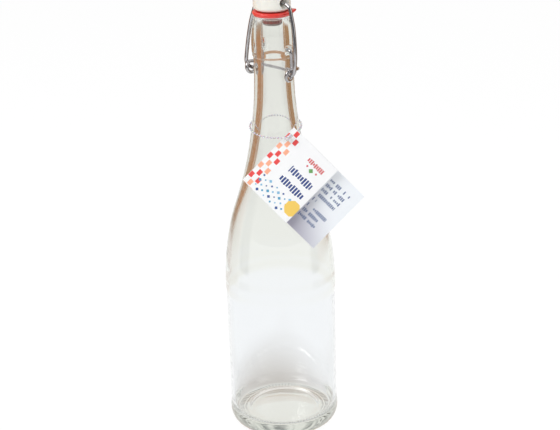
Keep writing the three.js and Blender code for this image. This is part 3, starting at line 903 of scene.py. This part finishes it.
def knurl_base(mesh):
    """Rolls radial ridges, dots and the mould's disc into the underside of the base."""
    glass = glass_settings()
    knurls = glass.segments / STEPS_PER_KNURL
    for vertex in mesh.vertices:
        place = vertex.co
        radius = math.hypot(place.x, place.y)
        if place.z > PUNT_DEPTH * 1.1:
            continue
        place.z += DISC_STEP * eased((DISC_RADIUS - radius) / DISC_FADE)
        wave = (1 - math.cos(math.atan2(place.y, place.x) * knurls)) / 2
        for middle, half in KNURL_ROWS:
            place.z += KNURL_HEIGHT * wave * eased((half - abs(radius - middle)) / KNURL_FADE)


class SWING_OT_glass(bpy.types.Operator):
    """Blows the glass: one closed shell with its dimples and knurled bearing ring"""

    bl_idname = "swing.glass"
    bl_label = "Make the glass"

    def execute(self, context):
        glass = glass_settings()
        bottle = revolve("glass_bottle", outer_outline() + inner_outline(), glass.segments,
                         soda_lime_glass(glass.tint))
        press_dimples(bottle.data)
        knurl_base(bottle.data)
        face_outwards(bottle.data)
        finish_piece(bottle, "glass_body", "glass", "bottle")
        return {"FINISHED"}


# ---------------------------------------------------------------- stopper and washer

def trumpet(side, middle):
    """A cutter for the stopper's hole: straight inside, and flaring out to one side."""
    radius = closure_settings().stopper_radius
    outline = [(0, 0), (HOLE_RADIUS, 0), (HOLE_RADIUS, radius - FLARE_DEPTH)]
    outline += line(outline[-1], (FLARE_RADIUS, radius), 12, lambda part: part ** FLARE_CURVE)
    outline += [(FLARE_RADIUS + 1 * MM, radius + 1.5 * MM), (0, radius + 1.5 * MM)]
    cutter = revolve("flare", outline, 64)
    turn = Matrix.Rotation(math.pi / 2 * side, 4, "Y")
    stretch = Matrix.Diagonal((1, FLARE_STRETCH, 1, 1))
    cutter.data.transform(Matrix.Translation((0, 0, middle)) @ stretch @ turn)
    face_outwards(cutter.data)
    return cutter


class SWING_OT_stopper(bpy.types.Operator):
    """Casts the porcelain stopper, with its flared hole across"""

    bl_idname = "swing.stopper"
    bl_label = "Make the stopper"

    def execute(self, context):
        closure = closure_settings()
        lip = glass_settings().lip_height
        foot = lip + closure.washer_thickness + SEAT_CLEARANCE * 2
        top = foot + closure.stopper_height
        tip = lip - PLUG_DEPTH
        waist = foot + STOPPER_FOOT_RISE
        crown = top - STOPPER_CROWN_RISE
        radius = closure.stopper_radius
        upper = radius - STOPPER_DOME / 2
        outline = dome(PLUG_TIP_RADIUS, tip, -PLUG_DOME, 8)
        outline += [(PLUG_RADIUS, tip + PLUG_RADIUS - PLUG_TIP_RADIUS), (PLUG_RADIUS, foot)]
        outline += line(outline[-1], (STOPPER_FOOT_RADIUS, foot), 4)
        outline += quarter((STOPPER_FOOT_RADIUS, foot), (radius, waist), (radius, foot), 14)
        outline += line(outline[-1], (radius, (waist + crown) / 2), 3)
        outline += line(outline[-1], (upper, crown), 3)
        outline += quarter((upper, crown), (STOPPER_CROWN_RADIUS, top - STOPPER_DOME),
                           (radius - STOPPER_DOME, top - STOPPER_DOME), 14)
        outline += dome(STOPPER_CROWN_RADIUS, top - STOPPER_DOME, STOPPER_DOME, 8)[-2::-1]
        finish = glazed_porcelain(closure.glaze)
        stopper = revolve("porcelain_stopper", outline, 128, finish)
        face_outwards(stopper.data)
        cutters = [trumpet(side, lip + HOLE_RISE) for side in (-1, 1)]
        for cutter in cutters:
            cut = stopper.modifiers.new("Hole", "BOOLEAN")
            cut.object = cutter
            cut.solver = "EXACT"
        even = stopper.modifiers.new("Glaze", "REMESH")
        even.mode = "VOXEL"
        even.voxel_size = GLAZE_VOXEL
        even.use_smooth_shade = True
        soft = stopper.modifiers.new("Soften", "SMOOTH")
        soft.factor = 0.6
        soft.iterations = 8
        stopper.data = settled(stopper, stopper.name)
        for cutter in cutters:
            bpy.data.objects.remove(cutter)
        stopper.data.materials.clear()
        stopper.data.materials.append(finish)
        face_outwards(stopper.data)
        finish_piece(stopper, "stopper", "porcelain", "stopper")
        return {"FINISHED"}


def draw_out_tab(mesh, middle):
    """Draws the washer's edge out to one side, into the pointed tab that it is pulled by."""
    side = math.atan2(RIGHTWARD.y, RIGHTWARD.x)
    for vertex in mesh.vertices:
        place = vertex.co
        radius = math.hypot(place.x, place.y)
        off = math.remainder(math.atan2(place.y, place.x) - side, math.tau)
        share = max(0, 1 - abs(off) / TAB_SPREAD)
        if radius < WASHER_RADIUS - WASHER_BEVEL * 1.01 or share == 0:
            continue
        place.xy *= 1 + TAB_REACH * share / radius
        place.z = middle + (place.z - middle) * (1 - TAB_THINNING * share) + TAB_LIFT * share
    mesh.update()


class SWING_OT_washer(bpy.types.Operator):
    """Moulds the red rubber washer"""

    bl_idname = "swing.washer"
    bl_label = "Make the washer"

    def execute(self, context):
        closure = closure_settings()
        low = glass_settings().lip_height + SEAT_CLEARANCE
        high = low + closure.washer_thickness
        bore = PLUG_RADIUS + SEAT_CLEARANCE
        soft = WASHER_BEVEL / 3
        skirt = WASHER_RADIUS - soft
        hem = glass_settings().lip_height - SKIRT_DEPTH
        outline = [(bore, hem)]
        outline += quarter(outline[0], (SKIRT_RADIUS, hem + WASHER_BEVEL),
                           (SKIRT_RADIUS, hem), 5)
        outline += line(outline[-1], (SKIRT_RADIUS, low - SEAT_CLEARANCE), 4)
        outline += quarter(outline[-1], (BORE_RADIUS, low), (SKIRT_RADIUS, low), 4)
        outline += line(outline[-1], (WASHER_RADIUS - WASHER_BEVEL, low), 6)
        outline += quarter((WASHER_RADIUS - WASHER_BEVEL, low), (skirt, low + WASHER_BEVEL),
                           (skirt, low), 6)
        flash = (low + high) / 2
        outline += line(outline[-1], (WASHER_RADIUS - soft / 2, flash - FLASH_HEIGHT), 3)
        outline += [(WASHER_RADIUS, flash), (WASHER_RADIUS - soft / 3, flash + FLASH_HEIGHT)]
        outline += line(outline[-1], (WASHER_RADIUS - soft / 4, high - WASHER_BEVEL), 3)
        outline += quarter(outline[-1], (WASHER_RADIUS - WASHER_BEVEL, high),
                           (WASHER_RADIUS - soft / 4, high), 6)
        outline += line(outline[-1], (bore, high), 6)
        outline.append((bore, hem))
        washer = revolve("rubber_washer", outline, 128, natural_rubber(closure.rubber))
        face_outwards(washer.data)
        draw_out_tab(washer.data, flash)
        finish_piece(washer, "stopper", "rubber", "washer")
        return {"FINISHED"}


# ---------------------------------------------------------------- wires

def arc_points(centre, start, end, count):
    """Points of an arc about a centre, between two directions at right angles."""
    angles = [math.pi / 2 * k / count for k in range(count + 1)]
    return [centre + start * math.cos(angle) + end * math.sin(angle) for angle in angles]


def mirrored(half):
    """A half wire that ends at the plane X = 0, made whole."""
    return half + [Vector((-p.x, p.y, p.z)) for p in reversed(half[:-1])]


def closure_places():
    """Heights of the pivots, and how far out the arms, the bar's ends and the legs stand."""
    closure = closure_settings()
    lip = glass_settings().lip_height
    places = {"pivot": lip - DIMPLE_DROP, "hole": lip + HOLE_RISE,
              "surface": FINISH_RADIUS + FINISH_BULGE / 4}
    places["coil"] = places["pivot"] - COIL_DROP
    places["arm"] = places["surface"] + ARM_CLEARANCE + closure.lever_wire / 2
    places["bar"] = places["arm"] + COIL_SHIFT
    places["leg"] = (places["bar"] + closure.lever_wire / 2 + BAIL_SIDE_CLEARANCE
                     + closure.bail_wire / 2)
    return places


def lever_path():
    """The lever wire: dimple, arm, coil, the thumb bar round the back, and back."""
    at = closure_places()
    wire = closure_settings().lever_wire
    points = [Vector((at["surface"] - LEVER_TIP_INSET, 0, at["pivot"]))]
    centre = Vector((at["arm"] - LEVER_BEND, 0, at["pivot"] - LEVER_BEND))
    across, down = Vector((LEVER_BEND, 0, 0)), Vector((0, 0, LEVER_BEND))
    points += arc_points(centre, down, across, 4)
    points.append(Vector((at["arm"], 0, (at["pivot"] + at["coil"]) / 2)))
    for k in range(16):
        angle = math.pi * 1.5 * k / 15
        points.append(Vector((
            at["arm"] + COIL_SHIFT * k / 15,
            -COIL_RADIUS + COIL_RADIUS * math.cos(angle),
            at["coil"] - COIL_RADIUS * math.sin(angle))))
    height = at["coil"] + COIL_RADIUS
    reach = glass_settings().neck_radius + BAR_CLEARANCE + wire / 2
    guides = [Vector((at["bar"], -COIL_RADIUS, height)),
              Vector((at["bar"], BAR_LEAD - COIL_RADIUS, height)),
              Vector((BAR_SPREAD, reach, height - BAR_DROOP)),
              Vector((0, reach, height - BAR_DROOP))]
    for k in range(1, 10):
        t = k / 9
        weights = ((1 - t) ** 3, 3 * t * (1 - t) ** 2, 3 * t * t * (1 - t), t ** 3)
        points.append(sum((g * w for g, w in zip(guides, weights)), Vector()))
    return mirrored(points)


def bail_path():
    """The bail wire: coil, leg, and the straight run inside the stopper, and back.

    It has slid sideways in the stopper, the more the higher up.
    """
    at = closure_places()
    closure = closure_settings()
    rise = at["hole"] - at["coil"]
    points = [Vector((at["arm"] - BAIL_TIP_OVERHANG, -COIL_RADIUS, at["coil"]))]
    centre = Vector((at["leg"] - BAIL_BEND, -COIL_RADIUS, at["coil"] + BAIL_BEND))
    low, out = Vector((0, 0, -BAIL_BEND)), Vector((BAIL_BEND, 0, 0))
    points += arc_points(centre, low, out, 5)
    rim = closure.stopper_radius - FLARE_DEPTH / 2
    for out_share, up_share in LEG_SHARES:
        height = at["coil"] + rise * up_share
        lean = -COIL_RADIUS * (at["hole"] - height) / rise
        points.append(Vector((rim + (at["leg"] - rim) * out_share, lean, height)))
    run = closure.stopper_radius - FLARE_DEPTH + closure.bail_wire / 4
    points += [Vector((run * share, 0, at["hole"])) for share in STRAIGHT_SHARES]
    route = mirrored(points)
    for point in route:
        point.x += BAIL_SLIDE * (point.z - at["coil"]) / rise
    return route


class SWING_OT_wires(bpy.types.Operator):
    """Bends the lever wire with its two coils, and the bail wire"""

    bl_idname = "swing.wires"
    bl_label = "Make the wires"

    def execute(self, context):
        closure = closure_settings()
        tree = wire_tree()
        steel = drawn_steel()
        for name, route, wire, steps, node in (
                ("lever_wire", lever_path(), closure.lever_wire, 620, "lever"),
                ("bail_wire", bail_path(), closure.bail_wire, 420, "bail")):
            path = spline(route, steps)
            piece = grow(name, tree, chain_mesh(name + "_path", path), {
                "Radius": wire / 2, "Sides": 20, "Material": steel})
            face_outwards(piece.data)
            finish_piece(piece, node, "wire", node)
        return {"FINISHED"}


# ---------------------------------------------------------------- tag and its loop

def card_frame():
    """The tag's hole, and the card's right, up and facing directions before it is turned."""
    tag = tag_settings()
    reach = LOOP_CLEARANCE + BEAD_RADIUS
    stand_off = glass_radius(TAG_HEIGHT) + reach
    drop = tag.back_width * math.sin(CARD_TURN) + tag.card_length * math.cos(CARD_TURN)
    lean = 0.0
    for k in range(1, 61):
        height = TAG_HEIGHT - drop * k / 60
        lean = max(lean, math.atan2(glass_radius(height) - stand_off, TAG_HEIGHT - height))
    facing = TOWARD * math.cos(lean) + UPWARD * math.sin(lean)
    up = facing.cross(RIGHTWARD)
    hole = (RIGHTWARD * TAG_HOLE_SIDEWAYS + UPWARD * TAG_HEIGHT
            + TOWARD * (stand_off + CARD_CLEARANCE / math.cos(lean)))
    return hole, RIGHTWARD, up, facing


def leaf_piece(name, width, frame_matrix, finish, plain):
    """One leaf of the card: a thin sheet with a punched hole, printed on its front."""
    tag = tag_settings()
    left, top = -TAG_HOLE_FROM_FOLD, TAG_HOLE_FROM_EDGE
    columns, rows = 36, 30
    points = [(left + width * i / columns, top - tag.card_length * j / rows, 0)
              for i in range(columns + 1) for j in range(rows + 1)]
    corners = [i * (rows + 1) + j for i in range(columns) for j in range(rows)]
    faces = [(c, c + 1, c + rows + 2, c + rows + 1) for c in corners]
    mesh = bpy.data.meshes.new(name)
    mesh.from_pydata(points, [], faces)
    card_map = mesh.uv_layers.new(name="print")
    for loop in mesh.loops:
        x, y, _ = points[loop.vertex_index]
        card_map.data[loop.index].uv = ((x - left) * 10, (top - y) * 10)
    mesh.materials.append(finish)
    mesh.materials.append(plain)
    leaf = new_object(name, mesh)
    thick = leaf.modifiers.new("Thickness", "SOLIDIFY")
    thick.thickness = CARD_THICKNESS
    thick.offset = 1
    thick.material_offset = 1
    bpy.ops.mesh.primitive_cylinder_add(vertices=40, radius=TAG_HOLE_RADIUS, depth=6 * MM)
    punch = bpy.context.object
    hole = leaf.modifiers.new("Hole", "BOOLEAN")
    hole.object = punch
    hole.solver = "EXACT"
    leaf.data = settled(leaf, leaf.name)
    bpy.data.objects.remove(punch)
    leaf.data.transform(frame_matrix)
    leaf.data.shade_smooth()
    leaf.data.set_sharp_from_angle(angle=math.radians(40))
    return leaf


class SWING_OT_tag(bpy.types.Operator):
    """Folds the printed card tag"""

    bl_idname = "swing.tag"
    bl_label = "Make the card tag"

    def execute(self, context):
        tag = tag_settings()
        hole, right, up, facing = card_frame()
        place = Matrix((right, up, facing)).transposed().to_4x4()
        place = Matrix.Translation(hole) @ place @ Matrix.Rotation(-CARD_TURN, 4, "Z")
        inside = [c * tone for c, tone in zip(tag.card, INSIDE_TONES)]
        back_finish = printed_card("Coated card, inside", inside, "back")
        plain = printed_card("Coated card, bare", tag.card, "bare")
        back = leaf_piece("card_back_leaf", tag.back_width, place, back_finish, plain)
        finish_piece(back, "tag_back", "card", "tag_back_leaf")
        fold = (Matrix.Translation((-TAG_HOLE_FROM_FOLD, 0, CARD_THICKNESS + LEAF_GAP))
                @ Matrix.Rotation(-LEAF_OPENING, 4, "Y")
                @ Matrix.Translation((TAG_HOLE_FROM_FOLD, 0, 0)))
        front_finish = printed_card("Coated card, printed face", tag.card, "front")
        front = leaf_piece("card_front_leaf", tag.front_width, place @ fold, front_finish,
                           plain)
        finish_piece(front, "tag_front", "card", "tag_front_leaf")
        return {"FINISHED"}


def loop_route():
    """The strand's route: lock, round the neck, back through the tag's hole to the lock."""
    hole, right, up, facing = card_frame()
    hang = hole + up * (TAG_HOLE_RADIUS - BEAD_RADIUS - LOOP_CLEARANCE)
    depth = CARD_THICKNESS * 2 + LEAF_GAP + LOCK_STAND_OFF + LOCK_SIZE[2] / 2
    lock = hang + facing * depth
    reach = LOOP_CLEARANCE + BEAD_RADIUS
    route = [lock.copy(), lock - right * (LOCK_SIZE[0] / 2)]
    for k in range(LOOP_STEPS + 1):
        angle = LOOP_START + (LOOP_END - LOOP_START) * k / LOOP_STEPS
        height = TAG_HEIGHT + LOOP_RISE - LOOP_DROP * math.cos(angle)
        radius = glass_radius(height) + reach
        route.append(UPWARD * height - right * (radius * math.sin(angle))
                     + TOWARD * (radius * math.cos(angle)))
    route += [hang - facing * reach, hang + facing * CARD_THICKNESS, lock.copy()]
    return route, lock


class SWING_OT_loop(bpy.types.Operator):
    """Threads the beaded nylon loop and snaps its lock shut"""

    bl_idname = "swing.loop"
    bl_label = "Make the nylon loop"

    def execute(self, context):
        tag = tag_settings()
        route, lock_place = loop_route()
        path = spline(route, 900)
        reach = sum((b - a).length for a, b in zip(path, path[1:]))
        nylon = clear_nylon()
        strand = grow("nylon_strand", beaded_tree(), chain_mesh("strand_path", path), {
            "Radius": STRAND_RADIUS, "Bead radius": BEAD_RADIUS,
            "Beads": round(reach / tag.bead_pitch) + 1, "Material": nylon})
        face_outwards(strand.data)
        finish_piece(strand, "tag_loop", "nylon", "tag_loop")
        _, right, up, facing = card_frame()
        along = up * math.cos(CARD_TURN) + right * math.sin(CARD_TURN)
        block = bmesh.new()
        bmesh.ops.create_cube(block, size=1)
        bmesh.ops.scale(block, vec=LOCK_SIZE, verts=block.verts)
        mesh = bpy.data.meshes.new("nylon_lock")
        block.to_mesh(mesh)
        block.free()
        lock = new_object("nylon_lock", mesh)
        rounded = lock.modifiers.new("Rounding", "BEVEL")
        rounded.width = LOCK_ROUNDING
        rounded.segments = 5
        lock.data = settled(lock, lock.name)
        turn = Matrix((along, facing.cross(along), facing)).transposed().to_4x4()
        lock.data.transform(Matrix.Translation(lock_place) @ turn)
        lock.data.materials.append(nylon)
        face_outwards(lock.data)
        finish_piece(lock, "tag_loop", "nylon", "tag_loop")
        return {"FINISHED"}


# ---------------------------------------------------------------- studio

def floor_finish():
    """Matt white paper. The camera sees it near white, with the bottle's soft shadow; glass
    sees a painted shadow behind the bottle and painted shade further off.
    """
    material, add, place = new_material("White studio paper")
    grain = add("TexNoise", {"Vector": place, "Scale": 0.3 / MM, "Detail": 3})
    paper = add("Mix", {
        "Factor": grain, 6: (0.86, 0.86, 0.86, 1), 7: (0.84, 0.84, 0.84, 1)}, data_type="RGBA")
    lit = add("BsdfDiffuse", {"Color": paper})
    away = add("VectorMath", [place], operation="LENGTH")
    # A painted shadow behind the bottle, which glass shows
    shadow_oval = add("Mapping", {
        "Vector": place, "Rotation": (0, 0, math.pi / 4),
        "Location": tuple(RIGHTWARD * -0.008), "Scale": (0.052, 0.15, 1)},
        vector_type="TEXTURE")
    within = add("VectorMath", [shadow_oval], operation="LENGTH")
    # Rings of painted shade that glass sees: each starts and ends at a distance, with a tone
    # inside and one outside
    shade = None
    for value, start, end, inner, outer in (
            (within, 0.2, 1.1, "BBB6B0", "F4F7FA"), (away, 0.034, 0.038, "E6E7E0", None),
            (away, 0.22, 0.4, None, "EFF1EA"), (away, 0.4, 1.0, None, "E3E4DE")):
        part = add("MapRange", {
            "Value": value, "From Min": start, "From Max": end},
            interpolation_type="SMOOTHSTEP")
        shade = add("Mix", {
            "Factor": part, 6: inner or shade, 7: outer or shade}, data_type="RGBA")
    through = add("Emission", {"Color": shade})
    white = add("Emission", {"Color": (1, 1, 1, 1), "Strength": 1.08})
    rays = add("LightPath").outputs
    direct = add("Math", [rays["Is Camera Ray"], rays["Is Glossy Ray"]], operation="MAXIMUM")
    amount = add("Math", [direct, 0.82], operation="MULTIPLY")
    first = add("MixShader", [amount, lit, white])
    glassy = add("Math", [rays["Is Transmission Ray"], 0.92], operation="MULTIPLY")
    last = add("MixShader", [glassy, first, through])
    add("OutputMaterial", [last])
    return material


def board_finish(name, paint, fade, low):
    """Board that glows in a flat colour instead of being lit, which only mirrors and glass
    show: duller low down, then paler.
    """
    material, add, place = new_material(name)
    cloud = add("TexNoise", {"Vector": place, "Scale": 0.014 / MM, "Detail": 2})
    darker = tuple(c * 0.8 for c in from_hex(paint)[:3]) + (1,)
    shade = add("Mix", {"Factor": cloud, 6: paint, 7: darker}, data_type="RGBA")
    height = add("SeparateXYZ", [place]).outputs["Z"]
    for (start, end), tone in ((DULL_HEIGHTS, low), (fade, "DFD9D2")):
        part = add("MapRange", {
            "Value": height, "From Min": start, "From Max": end},
            interpolation_type="SMOOTHSTEP")
        shade = add("Mix", {"Factor": part, 6: tone, 7: shade}, data_type="RGBA")
    glow = add("Emission", {"Color": shade})
    add("OutputMaterial", [glow])
    return material


def board(name, azimuths, distance, heights, paint, fade=(-1, -0.5), low=None):
    """A curved upright board round the bottle, between two angles from straight behind it."""
    points = []
    steps = 24
    for k in range(steps + 1):
        angle = math.radians(azimuths[0] + (azimuths[1] - azimuths[0]) * k / steps)
        foot = (RIGHTWARD * math.sin(angle) - TOWARD * math.cos(angle)) * distance
        points += [foot + UPWARD * heights[0], foot + UPWARD * heights[1]]
    faces = [(2 * k, 2 * k + 2, 2 * k + 3, 2 * k + 1) for k in range(steps)]
    mesh = bpy.data.meshes.new(name)
    mesh.from_pydata(points, [], faces)
    mesh.materials.append(board_finish(name, paint, fade, low or paint))
    piece = new_object(name, mesh)
    piece.visible_camera = piece.visible_diffuse = piece.visible_shadow = False


def soft_light(name, offset, side, power):
    """A large soft light, turned to the bottle, that no camera ray meets."""
    light = bpy.data.lights.new(name, "AREA")
    light.shape = "RECTANGLE"
    light.size = light.size_y = side
    light.energy = power
    lamp = bpy.data.objects.new(name, light)
    lamp.location = LIT_PLACE + offset
    lamp.rotation_euler = (LIT_PLACE - lamp.location).to_track_quat("-Z", "Y").to_euler()
    bpy.context.scene.collection.objects.link(lamp)
    lamp.visible_camera = False


def studio_world(strength):
    """White for the camera and for glass, greyer in front for metal, soft light elsewhere."""
    world = bpy.data.worlds.new("Plain studio")
    add = emptied(world)
    rays = add("LightPath").outputs
    place = add("TexCoord").outputs["Generated"]
    front = add("VectorMath", [place, tuple(TOWARD)], operation="DOT_PRODUCT")
    dim = add("MapRange", {
        "Value": front, "From Min": -0.1, "From Max": 0.7, "To Min": 1.0, "To Max": 0.16},
        interpolation_type="SMOOTHSTEP")
    level = strength
    for kind, its_level in (("Camera", 1.0), ("Glossy", dim), ("Transmission", 0.93)):
        level = add("Mix", {
            "Factor": rays["Is " + kind + " Ray"], 2: level, 3: its_level}, data_type="FLOAT")
    background = add("Background", {"Color": (1, 1, 1, 1), "Strength": level})
    add("OutputWorld", [background])
    bpy.context.scene.world = world


class SWING_OT_studio(bpy.types.Operator):
    """Sets up the camera, the lights, the pale floor and the boards round the bottle"""

    bl_idname = "swing.studio"
    bl_label = "Set up the studio"

    def execute(self, context):
        scene = context.scene
        studio = scene.swing_studio
        lens = bpy.data.cameras.new("Camera")
        lens.lens = CAMERA_LENS
        lens.sensor_width = SENSOR_WIDTH
        lens.clip_end = 50
        camera = bpy.data.objects.new("Camera", lens)
        scene.collection.objects.link(camera)
        ahead = -TOWARD * math.cos(CAMERA_PITCH) - UPWARD * math.sin(CAMERA_PITCH)
        level_up = RIGHTWARD.cross(ahead)
        right = RIGHTWARD * math.cos(CAMERA_ROLL) - level_up * math.sin(CAMERA_ROLL)
        up = RIGHTWARD * math.sin(CAMERA_ROLL) + level_up * math.cos(CAMERA_ROLL)
        place = Matrix((right, up, -ahead)).transposed().to_4x4()
        place.translation = (TOWARD * CAMERA_DISTANCE + UPWARD * CAMERA_HEIGHT
                             + RIGHTWARD * CAMERA_SIDE)
        camera.matrix_world = place
        scene.camera = camera

        floor_mesh = bpy.data.meshes.new("floor")
        corners = [(x * FLOOR_REACH, y * FLOOR_REACH, 0)
                   for x, y in ((-1, -1), (1, -1), (1, 1), (-1, 1))]
        floor_mesh.from_pydata(corners, [], [(0, 1, 2, 3)])
        floor_mesh.materials.append(floor_finish())
        new_object("floor", floor_mesh)
        for values in BOARDS:
            board(*values)
        soft_light("Key light", RIGHTWARD * -0.75 + TOWARD * 0.5 + UPWARD * 0.85, 0.7,
                   studio.key_power)
        soft_light("Fill light", RIGHTWARD * 0.9 + TOWARD * 0.5 + UPWARD * 0.5, 0.8,
                   studio.fill_power)
        studio_world(studio.room_light)
        scene.view_settings.view_transform = "Standard"
        return {"FINISHED"}


class SWING_PT_panel(bpy.types.Panel):
    """Lists the steps that build the bottle"""

    bl_idname = "SWING_PT_panel"
    bl_label = "Swing top bottle"
    bl_space_type = "VIEW_3D"
    bl_region_type = "UI"
    bl_category = "Swing Top"

    def draw(self, context):
        scene = context.scene
        for settings in (scene.swing_glass, scene.swing_closure, scene.swing_tag,
                         scene.swing_studio):
            box = self.layout.box()
            for field in settings.__annotations__:
                box.prop(settings, field)
        for operator in OPERATORS:
            self.layout.operator(operator.bl_idname)


OPERATORS = (SWING_OT_studio, SWING_OT_glass, SWING_OT_stopper, SWING_OT_washer,
             SWING_OT_wires, SWING_OT_loop, SWING_OT_tag)
SETTINGS = {"swing_glass": GlassSettings, "swing_closure": ClosureSettings,
            "swing_tag": TagSettings, "swing_studio": StudioSettings}


def register():
    for group in SETTINGS.values():
        bpy.utils.register_class(group)
    for field, group in SETTINGS.items():
        setattr(bpy.types.Scene, field, PointerProperty(type=group))
    for operator in OPERATORS:
        bpy.utils.register_class(operator)
    bpy.utils.register_class(SWING_PT_panel)


def unregister():
    bpy.utils.unregister_class(SWING_PT_panel)
    for operator in reversed(OPERATORS):
        bpy.utils.unregister_class(operator)
    for field, group in SETTINGS.items():
        delattr(bpy.types.Scene, field)
        bpy.utils.unregister_class(group)


def main():
    register()
    bpy.ops.swing.studio()
    bpy.ops.swing.glass()
    bpy.ops.swing.stopper()
    bpy.ops.swing.washer()
    bpy.ops.swing.wires()
    bpy.ops.swing.loop()
    bpy.ops.swing.tag()


if __name__ == "__main__":
    main()
